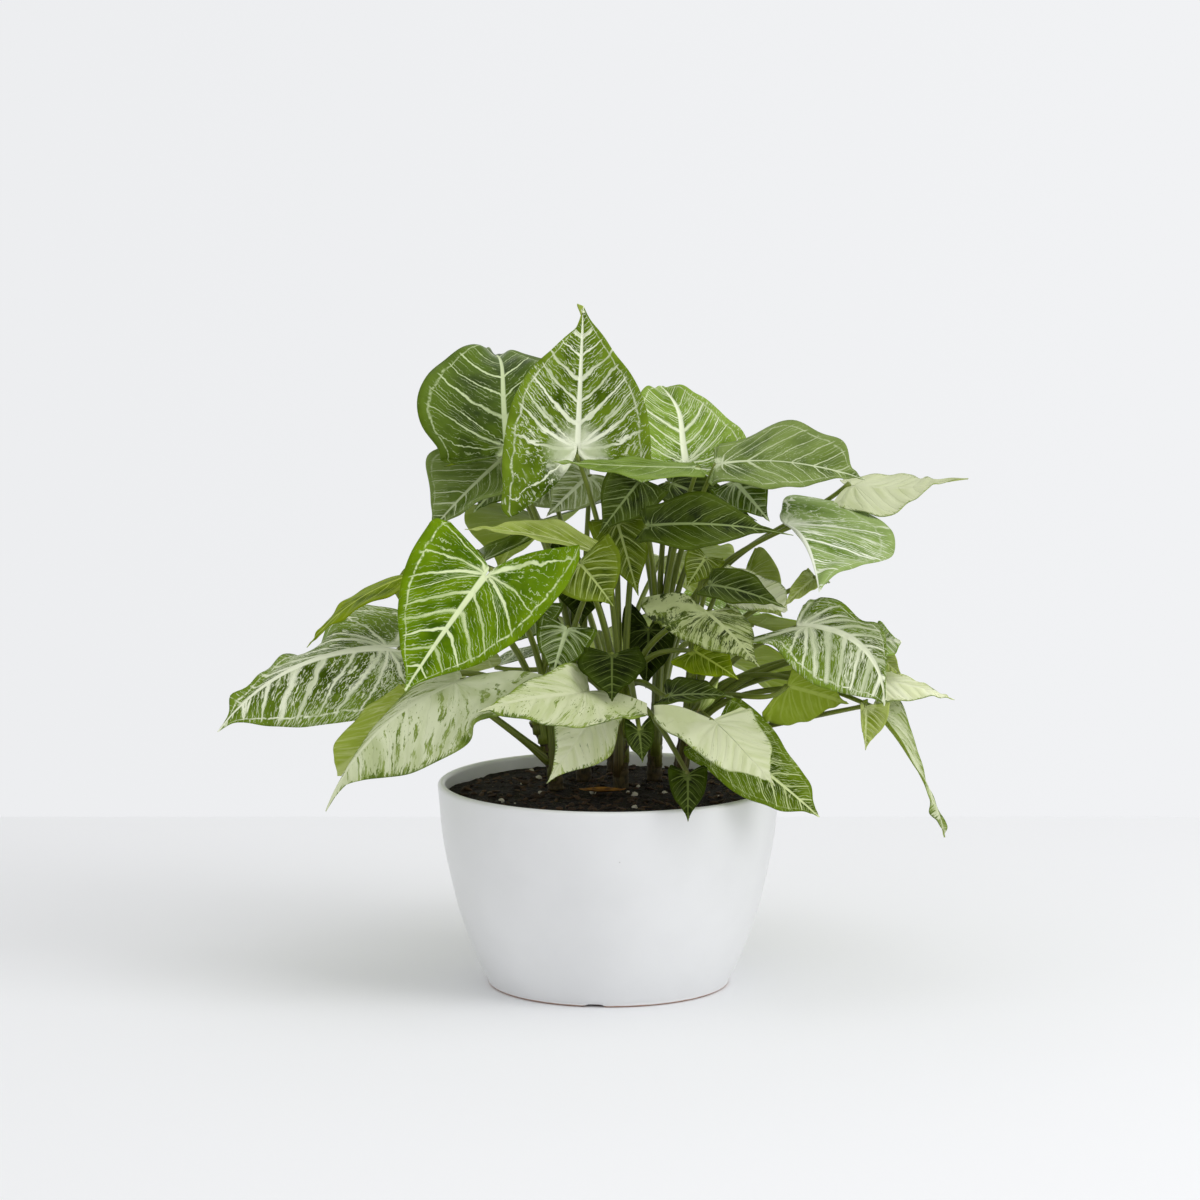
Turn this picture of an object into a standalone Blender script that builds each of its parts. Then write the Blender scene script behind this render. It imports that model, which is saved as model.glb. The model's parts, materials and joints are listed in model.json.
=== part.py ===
"""Potted syngonium: a turned bowl planter, its soil, six rooted stems and their arrow-shaped leaves.

Frame: origin at the centre of the pot's flat underside, +Z up, -Y towards the viewer.
Every length in the tables is in millimetres and is turned into metres when it is used.
"""

from math import cos, exp, pi, radians, sin, tan

import bmesh
import bpy
from mathutils import Matrix, Vector

MM = 0.001
GAP = 0.3                    # clearance between pieces that rest on each other
PARTS_COLLECTION = "potted_syngonium"

# ---- planter ----
RIM_RADIUS = 110.0
POT_HEIGHT = 131.6
WALL = 5.0
FLOOR = 7.0
POT_STEPS = 44
# outer face of the pot, (radius, height), top to bottom
POT_SIDE = ((110.0, 130.2), (107.0, 97.0), (102.0, 71.0), (96.0, 47.0), (87.6, 23.0),
            (80.6, 8.0), (77.6, 2.2), (75.2, 0.0))
NOTCH_WIDTH = 12.0
NOTCH_HEIGHT = 1.6

# ---- soil ----
SOIL_TOP = 125.0
SOIL_FLAT_RADIUS = 74.0
SOIL_EDGE_DROP = 2.0

# ---- leaf blades ----
BLADE_THICKNESS = 0.8
ROWS = 8                     # cells from the tip to the end of a lobe
COLUMNS = 2                  # cells from the midrib to the margin
LOBE_DEPTH = 0.42            # how far a full lobe reaches behind the joint, in blade lengths
# right half of a flat blade in blade lengths, (across, along), joint at (0, 0), tip at (0, 1)
MARGIN = ((0.0, 1.0), (0.025, 0.93), (0.075, 0.84), (0.19, 0.71), (0.34, 0.56), (0.45, 0.36),
          (0.50, 0.12), (0.51, -0.12), (0.47, -0.32), (0.40, -LOBE_DEPTH))
# the midrib and then the edge of the notch between the lobes
INNER = ((0.0, 1.0), (0.0, 0.88), (0.0, 0.76), (0.0, 0.60), (0.0, 0.43), (0.0, 0.24),
         (0.0, 0.07), (0.035, -0.06), (0.17, -0.24), (0.40, -LOBE_DEPTH))

TAIL_START = 0.93            # the drip tip of the even pattern blade begins here
TAPER_END = 0.45             # a pinched blade has its full width from here on
FOLD_START = 0.05            # the fold near the joint turns into the fold farther out
FOLD_LENGTH = 0.4
PUSH_SPREAD = 2.2            # a push spreads this much wider across than along

# ---- stalks ----
STALK_SIDES = 1              # bevel resolution of a stalk
STALK_POINTS = 9
STALK_BASE_RADIUS = 2.6
STALK_TOP_RADIUS = 1.5
STALK_RISE = 0.45            # a stalk first climbs by this share of its reach
STALK_LEAN = 0.1             # and leans to its blade by this share
STALK_FLATTEST = 0.6         # least cosine between a stalk's end and the blade's upper side
STALK_TURN = 1.4             # how strongly a flat stalk end is turned up
STALK_END = 0.3              # length of the straight end, in shares of the reach
LOWEST_STALK = 0.14          # where the first and last stalks leave a stem, in stem heights
STALK_SPAN = 0.81
STEM_RADIUS = 5.0
STEM_TAPER = 0.25
STEM_POINTS = 5
ROOT_GAP = 1.6 * GAP         # the foot of a stem stands this far above the soil
FOOT_OFFSET = 1.5            # a stalk starts this far off the stem axis, on its own side

# rooted stems: foot on the soil (x, y), lean of the top (x, y), height above the soil
STEMS = {
    "stem_left": ((-34, 2), (-14, -4), 46),
    "stem_back_left": ((-16, 32), (-6, 2), 70),
    "stem_middle": ((8, 6), (2, -4), 60),
    "stem_back_right": ((30, 34), (4, 2), 70),
    "stem_right": ((46, 4), (6, -6), 46),
    "stem_back": ((4, 66), (0, 6), 50),
}


class Leaf:
    """One blade and the stalk that carries it, sizes in millimetres and degrees."""

    def __init__(self, name, stem, joint, tip, face, width=1.0, lobes=(1.0, 1.0), pinch=0.0,
                 halves=(1.0, 1.0), fold=(10, 10), fold_end=None, curl=(10, 10), arch=20,
                 sweep=0.0, bow=(0, 0, 0), lift=0.0, tail=0.07, pushes=(), tint="bright"):
        self.name = name
        self.stem = stem              # the stem its stalk grows from
        self.joint = Vector(joint)    # where stalk and blade meet
        self.tip = Vector(tip)
        self.face = Vector(face)      # the way the upper side looks
        self.width = width            # full width in blade lengths
        self.lobes = lobes            # length of the left and right lobe, 1 is a full lobe
        self.pinch = pinch            # narrowing towards the joint
        self.halves = halves          # width of the left and right half, 1 is even
        self.fold = fold              # rise of each half from the midrib, near the joint
        self.fold_end = fold_end or fold
        self.curl = curl              # further rise of each half at its margin
        self.arch = arch              # total bend along the midrib
        self.sweep = sweep            # sideways bulge of the midrib in blade lengths
        self.bow = Vector(bow)        # moves the middle of the stalk
        self.lift = lift              # extra clearance between stalk end and blade
        self.tail = tail              # share of the length that is the narrow drip tip
        self.pushes = pushes          # soft local pushes: half, along, out, move, reach
        self.tint = tint


LEAVES = (
    # crown
    Leaf("leaf_top", "stem_middle", (-20, -10, 344), (-16, 0, 438), (0, -1, 0.15),
         lobes=(1.0, 0.35), fold=(10, 8), curl=(5, 10), arch=5, bow=(6, -20, 0), lift=-0.2,
         pushes=((-1, -0.38, 1, (-5, 0, -2), 0.1),), tint="bright"),
    Leaf("leaf_top_left", "stem_back_left", (-65, 25, 340), (-76, 115, 395), (0, -0.65, 0.75),
         width=1.05, lobes=(0.1, 0.1), pinch=0.15, fold=(0, 10), arch=90, lift=-0.1,
         pushes=((-1, 0.75, 1, (0, 0, 9), 0.2), (-1, 0.0, 1, (10, 0, 2), 0.13),
         (0, 0.65, 0, (3, 0, 0), 0.3), (1, 0.6, 1, (-4, 0, -5), 0.12)), tint="dark"),
    Leaf("leaf_below_top_left", "stem_back_left", (-68, 50, 335), (-115, 25, 290),
         (-0.35, -1, 0.3), width=0.85, lobes=(0.1, 0.1), pinch=0.5, fold=(5, 30), arch=25,
         pushes=((1, 0.45, 1, (-12, 0, 2), 0.18), (1, 0.75, 1, (-4, 0, 0), 0.15),
         (-1, 0.5, 1, (-5, 0, 7), 0.2), (1, 0.1, 1, (0, 0, 6), 0.15)), tint="dark"),
    Leaf("leaf_small_behind", "stem_back_left", (-61, 70, 325), (-88, 60, 298), (0, -1, 0.6),
         width=0.7, lobes=(0.3, 0.3), tint="dark"),
    Leaf("leaf_top_right", "stem_back_right", (50, 15, 332), (34, 70, 380), (0.15, -0.75, 0.65),
         width=1.1, lobes=(0.3, 0.3), arch=45, pushes=((1, 0.45, 1, (-2.5, 0, -3), 0.2),
         (-1, 0.75, 1, (-4, 0, 6), 0.15), (0, 0.6, 0, (4, 0, 0), 0.3),
         (1, 0.78, 1, (2, 0, 5), 0.13)), tint="bright"),
    Leaf("leaf_edge_on", "stem_back_right", (56, -45, 340), (-36, -70, 347), (0, -0.12, 1),
         width=0.6, lobes=(0.1, 0.1), pinch=0.5, fold=(-10, -5), arch=-5, tint="bright"),
    Leaf("leaf_dome_right", "stem_back_right", (68, -20, 339), (162, -35, 331), (0, -0.55, 0.8),
         width=0.75, lobes=(0.1, 0.1), pinch=0.5, fold=(0, -15), curl=(0, 0), arch=35,
         pushes=((-1, 0.45, 1, (5, 0, 6.5), 0.2), (-1, 0.72, 1, (10, 0, 6), 0.13),
         (1, 0.35, 1, (0, 0, 9), 0.3)), tint="dark"),
    Leaf("leaf_under_dome", "stem_back_right", (80, 0, 326), (102, -24, 303), (0, -0.9, 0.4),
         width=0.9, lobes=(0.1, 0.1), arch=15, tint="dark"),
    Leaf("leaf_far_right", "stem_back_right", (154, 5, 324), (229, -15, 330), (0, -0.1, 1),
         width=0.8, lobes=(0.3, 0.3), pinch=0.3, fold=(-5, -35), arch=5, bow=(0, 6, 10),
         tail=0.25, tint="cream"),
    Leaf("leaf_right_striped", "stem_back_right", (115, -29, 300.3), (130, -104, 269.3),
         (0.2, -0.45, 0.9), width=1.45, lobes=(0.85, 0.1), halves=(1.0, 0.5), fold=(5, -140),
         curl=(5, 0), arch=45, lift=0.4, pushes=((-1, 0.55, 1, (9, 0, -6), 0.22),
         (-1, 0.8, 1, (7, 0, -1), 0.12), (-1, -0.3, 0.6, (-25, -14, 10), 0.3)), tint="cream"),
    Leaf("leaf_dark_centre", "stem_back_right", (24, -40, 302), (116, -62, 299), (0, -0.85, 0.5),
         width=0.48, lobes=(0.15, 0.15), pinch=0.5, arch=45, lift=0.15, tail=0.34, tint="dark"),
    Leaf("leaf_grey_behind", "stem_back_left", (-39, 60, 319), (-6, 40, 309), (0, -0.9, 0.4),
         width=0.8, lobes=(0.3, 0.3), arch=10, tint="dark"),
    Leaf("leaf_lime_knob", "stem_middle", (-19, -56, 281.5), (3, -62, 254), (0.2, -0.9, 0.3),
         width=1.4, lobes=(0.1, 0.2), arch=30, tint="bright"),
    Leaf("leaf_dark_high", "stem_middle", (21, 3, 327), (-6, -14, 294), (0, -0.9, 0.4), width=0.9,
         lobes=(0.1, 0.1), arch=15, tint="dark"),
    Leaf("leaf_dark_middle", "stem_middle", (5, 6, 300.5), (19, -13, 253.5), (0, -0.9, 0.3),
         width=0.72, lobes=(0.1, 0.1), arch=15, tint="dark"),
    # left side
    Leaf("leaf_big_left", "stem_left", (-74, -65, 278), (-127, -95, 206), (-0.1, -1, 0.45),
         lobes=(1.1, 0.25), fold=(5, 5), pushes=((1, 0.75, 1, (-4, 0, 0), 0.15),), tint="bright"),
    Leaf("leaf_over_big", "stem_left", (-2, -38, 283), (-91, -38, 300), (0, -0.25, 1), width=0.5,
         lobes=(0.1, 0.1), pinch=0.5, arch=25, tint="cream"),
    Leaf("leaf_far_left", "stem_left", (-134, -25, 222), (-248, -45, 171), (0, -0.9, 0.45),
         width=0.85, lobes=(0.5, 0.5), fold=(5, -40), fold_end=(0, -64), arch=15, sweep=0.13,
         bow=(-22, -6, -36), pushes=((1, 0.34, 1, (2, 0, -14), 0.1),
         (1, 0.0, 1, (-4, 0, 0), 0.12), (-1, 0.72, 1, (0, 0, -7), 0.15)), tint="cream"),
    Leaf("leaf_arched_left", "stem_left", (-120, -20, 270), (-192, -30, 223), (-0.5, -0.15, 0.85),
         width=0.5, lobes=(0.1, 0.1), pinch=0.4, fold=(-25, 0), arch=40,
         pushes=((1, 0.25, 1, (0, 0, -3.5), 0.25), (-1, 0.45, 1, (0, 0, 5), 0.25)),
         tint="bright"),
    Leaf("leaf_low_left", "stem_left", (-92, -75, 209), (-177, -95, 129), (0.35, -0.9, 0.25),
         width=0.75, lobes=(1.0, 0.1), halves=(1.0, 0.35), fold=(20, -50), fold_end=(20, -80),
         curl=(10, 10), arch=10, sweep=0.12, lift=-0.4, tail=0.2,
         pushes=((-1, 0.0, 1, (-20, 0, 5), 0.14), (-1, 0.6, 1, (1, 0, -8), 0.25),
         (-1, -0.3, 1, (-14, 0, 20), 0.14), (-1, -0.25, 0, (0, 0, 8), 0.2)), tint="cream"),
    Leaf("leaf_lime_behind", "stem_left", (-122, -62, 196), (-168, -74, 148), (0.5, 0.8, -0.3),
         width=0.5, lobes=(0.1, 0.1), pinch=0.3, halves=(1.5, 0.4), arch=-30,
         pushes=((-1, 0.75, 1, (-11, 0, 0), 0.2),), tint="bright"),
    # middle
    Leaf("leaf_pale_centre", "stem_middle", (-12, -80, 201), (-81, -120, 197), (0, -0.6, 0.8),
         width=0.8, lobes=(0.85, 0.1), halves=(1.0, 0.5), arch=30,
         pushes=((-1, 0.4, 1, (0, 0, -8), 0.32), (-1, 0.78, 1, (0, 0, -3), 0.1),
         (-1, -0.3, 0, (0, 0, 8), 0.3), (1, 0.1, 1, (0, 0, 6), 0.2)), tint="cream"),
    Leaf("leaf_pale_below", "stem_middle", (-6, -55, 189), (-39, -78, 144), (0.2, -1, 0.3),
         width=0.9, lobes=(0.1, 0.1), pinch=0.4, arch=10, pushes=((1, 0.6, 1, (4, 0, 0), 0.25),),
         tint="cream"),
    Leaf("leaf_pale_right", "stem_right", (64, -95, 187), (102, -140, 154), (-0.1, -0.8, 0.65),
         width=0.95, lobes=(0.2, 1.0), fold=(-28, 10), pushes=((-1, 0.25, 1, (-4, 0, -4), 0.3),
         (1, -0.35, 0, (0, 0, 6), 0.2)), tint="cream"),
    Leaf("leaf_low_right", "stem_right", (67, -60, 172), (132, -85, 124), (0.1, -0.8, 0.6),
         width=0.65, lobes=(0.2, 0.2), pushes=((-1, 0.75, 1, (5, 0, 0), 0.15),
         (1, 0.5, 1, (0, 0, -5), 0.25), (1, 0.75, 1, (0, 0, -4), 0.12)), tint="dark"),
    Leaf("leaf_hanging_small", "stem_middle", (49, -105, 155), (49, -120, 128), (0, -0.9, 0.3),
         width=0.8, lobes=(0.4, 0.4), tint="dark"),
    Leaf("leaf_flecked_centre", "stem_middle", (61, -65, 251), (93, -115, 224),
         (-0.1, -0.7, 0.75), lobes=(0.2, 1.4), halves=(0.65, 1.0), fold=(-30, 10), arch=30,
         lift=-0.1, pushes=((1, -0.35, 0, (4, 0, 8), 0.25),), tint="cream"),
    Leaf("leaf_dark_low", "stem_middle", (2, -65, 224), (2, -95, 199), (0, -0.7, 0.7), width=1.3,
         lobes=(0.2, 0.2), pinch=0.3, tint="dark"),
    Leaf("leaf_small_low", "stem_left", (-26, -45, 238), (-36, -60, 208), (0, -0.9, 0.4),
         width=1.1, lobes=(0.2, 0.2), tint="cream"),
    Leaf("leaf_olive_low", "stem_middle", (53, -62, 226), (81, -82, 211), (0, -0.8, 0.5),
         width=0.9, lobes=(0.3, 0.3), tint="bright"),
    Leaf("leaf_dark_point", "stem_middle", (37, -69, 198), (78, -89, 201), (0, -0.5, 0.8),
         width=0.6, lobes=(0.3, 0.3), tint="dark"),
    Leaf("leaf_tiny_centre", "stem_middle", (19, -98, 181), (21, -108, 163), (0, -0.9, 0.4),
         width=0.9, arch=10, tint="cream"),
    # right side
    Leaf("leaf_big_right", "stem_right", (119, -35, 237), (173, -75, 194), (0.1, -0.85, 0.6),
         width=0.95, lobes=(0.2, 0.8), halves=(0.66, 1.32), arch=25, sweep=-0.22, lift=-0.1,
         pushes=((1, 0.55, 1, (-2, 0, -9), 0.22), (1, 0.8, 1, (-2, 0, -6), 0.15),
         (-1, 0.3, 1, (-2, 0, -8), 0.15), (1, -0.15, 1, (30, 0, 10), 0.3)), tint="cream"),
    Leaf("leaf_curled_right", "stem_right", (156, -28, 228), (184, -45, 230), (0, -0.9, 0.45),
         width=1.1, lobes=(0.1, 0.1), arch=20, pushes=((-1, 0.25, 1, (3, 0, -12), 0.2),
         (1, 0.75, 1, (5, 0, -5), 0.2), (-1, 0.0, 1, (0, 0, -7), 0.12)), tint="bright"),
    Leaf("leaf_pale_point", "stem_right", (164, -25, 203), (219, -45, 192), (0, -0.5, 0.9),
         width=0.6, lobes=(0.1, 0.1), halves=(0.4, 1.2), pushes=((1, 0.4, 1, (0, 0, -5), 0.25),),
         tint="cream"),
    Leaf("leaf_lime_edge", "stem_right", (171, -20, 217), (186, -38, 206), (0, -0.9, 0.4),
         width=0.65, lobes=(0.1, 0.1), arch=10, tint="bright"),
    Leaf("leaf_lime_strip", "stem_right", (157, -5, 231), (177, -20, 230), (0, -0.6, 0.8),
         width=0.4, lobes=(0.1, 0.1), arch=10, tint="bright"),
    Leaf("leaf_drooping", "stem_right", (167, -45, 187.4), (213, -60, 106), (0.6, -0.6, 0.5),
         width=0.35, lobes=(0.1, 0.1), curl=(40, 60), arch=45, bow=(0, 30, 10),
         pushes=((-1, 0.5, 1, (-10, 0, 0), 0.3),), tint="cream"),
    Leaf("leaf_light_small", "stem_right", (162, -62, 191), (161, -76, 165), (0, -1, 0.3),
         lobes=(0.1, 0.1), halves=(1.0, 0.25), arch=10, bow=(10, 20, -60), tint="bright"),
    Leaf("leaf_olive_back", "stem_right", (112, -58, 203.3), (152, -45, 189.5), (0, 0.8, 0.6),
         width=1.2, lobes=(0.5, 0.1), pinch=0.0, halves=(1.0, 0.6), fold=(-30, 10), arch=10,
         bow=(0, -8, 8), lift=0.4, tint="bright"),
    Leaf("leaf_dark_right", "stem_right", (63, -35, 264), (111, -60, 253), (0, -0.7, 0.7),
         width=0.6, lobes=(0.1, 0.1), pinch=0.3, arch=30, tint="dark"),
    Leaf("leaf_olive_small", "stem_right", (62, -17, 279), (49, -34, 262), (0, -0.9, 0.4),
         width=0.9, lobes=(0.3, 0.3), arch=10, tint="bright"),
    Leaf("leaf_pale_right_behind", "stem_right", (72, -11, 263), (112, -27, 245), (0, -0.9, 0.4),
         width=0.68, lobes=(0.1, 0.1), pinch=0.3, arch=10,
         pushes=((-1, 0.75, 1, (8, 0, 6), 0.2),), tint="cream"),
    Leaf("leaf_curled_small", "stem_right", (131, -30, 268), (110, -45, 251), (0, -0.6, 0.7),
         width=0.5, lobes=(0.1, 0.1), tint="bright"),
    # far side of the plant
    Leaf("leaf_back_1", "stem_back", (-45, 125, 285), (-75, 200, 240), (-0.2, 0.5, 0.9), arch=35,
         tint="bright"),
    Leaf("leaf_back_2", "stem_back", (36, 124, 260), (58, 202, 220), (0.2, 0.5, 0.9), arch=35,
         tint="cream"),
    Leaf("leaf_back_3", "stem_back", (-6, 122, 210), (-6, 194, 166), (0, 0.5, 0.9), arch=30,
         tint="cream"),
    Leaf("leaf_back_4", "stem_back_left", (-85, 80, 262), (-140, 135, 215), (-0.5, 0.3, 0.9),
         arch=30, tint="dark"),
    Leaf("leaf_back_5", "stem_back_right", (95, 75, 222), (150, 125, 180), (0.5, 0.3, 0.9),
         arch=30, tint="bright"),
    Leaf("leaf_back_6", "stem_back", (-75, 100, 190), (-130, 150, 150), (-0.4, 0.4, 0.9), arch=30,
         tint="cream"),
    Leaf("leaf_back_7", "stem_back", (75, 105, 195), (125, 155, 150), (0.4, 0.4, 0.9), arch=30,
         tint="dark"),
    Leaf("leaf_back_8", "stem_back_right", (5, 110, 325), (10, 185, 310), (0, 0.2, 1), arch=35,
         tint="bright"),
)

TINTS = {
    "bright": (0.20, 0.36, 0.05),
    "dark": (0.06, 0.14, 0.03),
    "cream": (0.52, 0.60, 0.34),
}


# ---------------------------------------------------------------- helpers

def clear_scene():
    """Remove everything a new file starts with."""
    for thing in list(bpy.data.objects):
        bpy.data.objects.remove(thing, do_unlink=True)


def collection(name):
    """A new collection under the scene."""
    group = bpy.data.collections.new(name)
    bpy.context.scene.collection.children.link(group)
    return group


def material(name, colour, roughness, metallic=0.0):
    """A plain Principled material."""
    made = bpy.data.materials.new(name)
    made.use_nodes = True
    shader = made.node_tree.nodes["Principled BSDF"]
    shader.inputs["Base Color"].default_value = (*colour, 1.0)
    shader.inputs["Roughness"].default_value = roughness
    shader.inputs["Metallic"].default_value = metallic
    return made


def add_object(name, mesh, group, finish):
    """Wrap a mesh in an object with one material."""
    thing = bpy.data.objects.new(name, mesh)
    group.objects.link(thing)
    mesh.materials.append(finish)
    return thing


def smooth(mesh):
    """Shade every face smooth."""
    for face in mesh.polygons:
        face.use_smooth = True


def mesh_of(thing):
    """The mesh an object gives with its modifiers, as new data."""
    depsgraph = bpy.context.evaluated_depsgraph_get()
    depsgraph.update()
    return bpy.data.meshes.new_from_object(thing.evaluated_get(depsgraph))


def turned(name, profile, group, finish, steps):
    """Turn a closed profile of (radius, height), first and last point on the axis."""
    mesh = bpy.data.meshes.new(name)
    points = [(radius * MM, 0.0, height * MM) for radius, height in profile]
    edges = [(i, i + 1) for i in range(len(points) - 1)]
    mesh.from_pydata(points, edges, [])
    thing = add_object(name, mesh, group, finish)
    screw = thing.modifiers.new("turn", "SCREW")
    screw.axis = "Z"
    screw.angle = 2.0 * pi
    screw.steps = steps
    screw.render_steps = steps
    screw.use_merge_vertices = True
    screw.merge_threshold = 0.00001
    screw.use_smooth_shade = True
    return thing


# ---------------------------------------------------------------- pot and soil

def inner_radius(height):
    """Radius of the pot's inner face at a height: the outer face less the wall."""
    side = POT_SIDE
    for (r_top, z_top), (r_low, z_low) in zip(side, side[1:]):
        if z_low <= height <= z_top:
            share = (height - z_low) / (z_top - z_low)
            return r_low + share * (r_top - r_low) - WALL
    return side[0][0] - WALL


def build_pot(group, cutters):
    """Turned bowl with a rounded rim, a flat underside and a small notch in its foot."""
    finish = material("pot_glaze", (0.86, 0.87, 0.87), 0.35)
    rim_edge = 1.4
    profile = [(0.0, FLOOR), (inner_radius(FLOOR) - 6.0, FLOOR)]
    profile += [(inner_radius(z), z) for z in (14.0, 23.0, 47.0, 71.0, 97.0)]
    profile += [(RIM_RADIUS - WALL, POT_HEIGHT - rim_edge),
                (RIM_RADIUS - WALL + rim_edge, POT_HEIGHT),
                (RIM_RADIUS - rim_edge, POT_HEIGHT)]
    profile += list(POT_SIDE)
    profile.append((0.0, 0.0))
    pot = turned("pot", profile, group, finish, POT_STEPS)
    notch = bpy.data.meshes.new("notch")
    shape = bmesh.new()
    bmesh.ops.create_cube(shape, size=1.0)
    bmesh.ops.scale(shape, vec=(NOTCH_WIDTH * MM, 8.0 * MM, 2.0 * NOTCH_HEIGHT * MM),
                    verts=shape.verts)
    shape.to_mesh(notch)
    shape.free()
    cutter = bpy.data.objects.new("notch_cutter", notch)
    cutter.location = (-9.0 * MM, -76.0 * MM, 0.0)
    cutter.hide_render = True
    cutter.display_type = "WIRE"
    cutters.objects.link(cutter)
    cut = pot.modifiers.new("notch", "BOOLEAN")
    cut.operation = "DIFFERENCE"
    cut.solver = "EXACT"
    cut.object = cutter
    return pot


def build_soil(group):
    """Soil that fills the bowl, nearly flat on top and lower at the wall."""
    finish = material("soil_crumb", (0.03, 0.02, 0.015), 0.95)
    low = FLOOR + GAP
    edge = SOIL_TOP - SOIL_EDGE_DROP
    heights = (14.0 + GAP, 23.0, 47.0, 71.0, 97.0, edge)
    profile = [(0.0, SOIL_TOP), (SOIL_FLAT_RADIUS, SOIL_TOP)]
    profile += [(inner_radius(z) - GAP, z) for z in reversed(heights)]
    profile += [(inner_radius(FLOOR) - 6.5, low), (0.0, low)]
    return turned("soil", profile, group, finish, POT_STEPS)


# ---------------------------------------------------------------- blades

def along_curve(points, share):
    """Catmull-Rom curve through the points, share runs from 0 to 1."""
    last = len(points) - 1
    place = share * last
    i = min(int(place), last - 1)
    f = place - i
    b = Vector(points[i])
    c = Vector(points[i + 1])
    a = Vector(points[i - 1]) if i > 0 else 2 * b - c
    d = Vector(points[i + 2]) if i + 2 <= last else 2 * c - b
    return 0.5 * (2 * b + (c - a) * f + (2 * a - 5 * b + 4 * c - d) * f * f
                  + (3 * b - a - 3 * c + d) * f ** 3)


def ease(value):
    """Smooth step between 0 and 1."""
    value = min(max(value, 0.0), 1.0)
    return value * value * (3.0 - 2.0 * value)


def flat_point(leaf, side, row, column):
    """Flat position (across, along) of a grid point of one half, in blade lengths."""
    pair = []
    pick = 0 if side < 0 else 1
    for curve in (INNER, MARGIN):
        across, along = along_curve(curve, row / ROWS)
        across = max(across, 0.0) * leaf.width
        across *= leaf.halves[pick] * (1.0 - leaf.pinch * (1.0 - ease(along / TAPER_END)))
        if along < 0.0:
            along *= leaf.lobes[pick]
        elif along < TAIL_START:
            along *= (1.0 - leaf.tail) / TAIL_START
        else:
            along = 1.0 - (1.0 - along) * leaf.tail / (1.0 - TAIL_START)
        pair.append(Vector((across, along)))
    point = pair[0].lerp(pair[1], column / COLUMNS)
    return side * point.x, point.y


def midrib_bend(leaf):
    """Samples of the arched midrib: share, forward, rise and slope, tip on the Y axis."""
    arch = radians(leaf.arch)
    step = 0.01
    samples = []
    forward = rise = 0.0
    share = 0.0
    while share < 1.2:
        slope = arch * (0.5 - share)
        samples.append((share, forward, rise, slope))
        middle = arch * (0.5 - share - step / 2)
        forward += cos(middle) * step
        rise += sin(middle) * step
        share += step
    return samples


def bent_point(leaf, samples, across, along):
    """Bend a flat point: each half folds and curls, the midrib arches and sweeps."""
    pick = 0 if across < 0 else 1
    half = 0.5 * leaf.width * leaf.halves[pick]
    change = ease((along - FOLD_START) / FOLD_LENGTH)
    fold = radians(leaf.fold[pick] + (leaf.fold_end[pick] - leaf.fold[pick]) * change)
    curl = radians(leaf.curl[pick]) or 0.001
    share = abs(across) / half
    out = half / curl * (sin(fold + curl * share) - sin(fold))
    up = half / curl * (cos(fold) - cos(fold + curl * share))
    out = out if across >= 0 else -out
    arch = radians(leaf.arch)
    if along < 0.0:
        slope = arch * 0.5
        forward = along * cos(slope)
        rise = along * sin(slope)
    else:
        _, forward, rise, slope = samples[min(int(round(along * 100)), len(samples) - 1)]
    chord = samples[100][1]
    y = (forward - up * sin(slope)) / chord
    z = (rise + up * cos(slope)) / chord
    held = min(max(along, -0.3), 1.0)
    x = out / chord + leaf.sweep * 4.0 * held * (1.0 - held)
    return Vector((x, y, z))


def pushed(leaf, side, along, out):
    """Sum of the soft pushes that reach a point of one half, in millimetres."""
    total = Vector()
    for half, push_along, push_out, move, reach in leaf.pushes:
        if half in (0, side):
            away = ((along - push_along) / reach) ** 2
            away += ((out - push_out) / (PUSH_SPREAD * reach)) ** 2
            total += Vector(move) * exp(-away)
    return total


def leaf_axes(leaf):
    """Blade axes: Y runs from joint to tip, Z looks out of the upper side."""
    y = (leaf.tip - leaf.joint).normalized()
    z = (leaf.face - leaf.face.dot(y) * y).normalized()
    return Matrix((y.cross(z), y, z)).transposed()


def build_leaf(leaf, group, finish):
    """Two ruled halves between midrib and margin, welded and given thickness."""
    length = (leaf.tip - leaf.joint).length
    samples = midrib_bend(leaf)
    turn = leaf_axes(leaf)
    sheet = bmesh.new()
    for side in (-1, 1):
        half = bmesh.new()
        bmesh.ops.create_grid(half, x_segments=COLUMNS, y_segments=ROWS, size=0.5)
        for vert in half.verts:
            column = round((vert.co.x + 0.5) * COLUMNS)
            row = round((vert.co.y + 0.5) * ROWS)
            across, along = flat_point(leaf, side, row, column)
            # both halves share the midrib, so the left half's pushes move it
            owner = side if abs(across) > 0.0 else -1
            push = turn.transposed() @ pushed(leaf, owner, along, column / COLUMNS)
            vert.co = (bent_point(leaf, samples, across, along) * length + push) * MM
        if side > 0:
            bmesh.ops.reverse_faces(half, faces=half.faces)
        piece = bpy.data.meshes.new("half")
        half.to_mesh(piece)
        half.free()
        sheet.from_mesh(piece)
        bpy.data.meshes.remove(piece)
    bmesh.ops.remove_doubles(sheet, verts=sheet.verts, dist=0.02 * MM)
    bmesh.ops.recalc_face_normals(sheet, faces=sheet.faces)
    mesh = bpy.data.meshes.new(leaf.name)
    sheet.to_mesh(mesh)
    sheet.free()
    smooth(mesh)
    blade = add_object(leaf.name, mesh, group, finish)
    blade.location = leaf.joint * MM
    blade.rotation_euler = turn.to_euler()
    solid = blade.modifiers.new("thickness", "SOLIDIFY")
    solid.thickness = BLADE_THICKNESS * MM
    solid.offset = 0.0
    return blade


# ---------------------------------------------------------------- stems and stalks

def bezier(a, b, c, d, share):
    """Point on a cubic curve."""
    rest = 1.0 - share
    return (a * rest ** 3 + b * 3 * rest * rest * share + c * 3 * rest * share * share
            + d * share ** 3)


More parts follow.
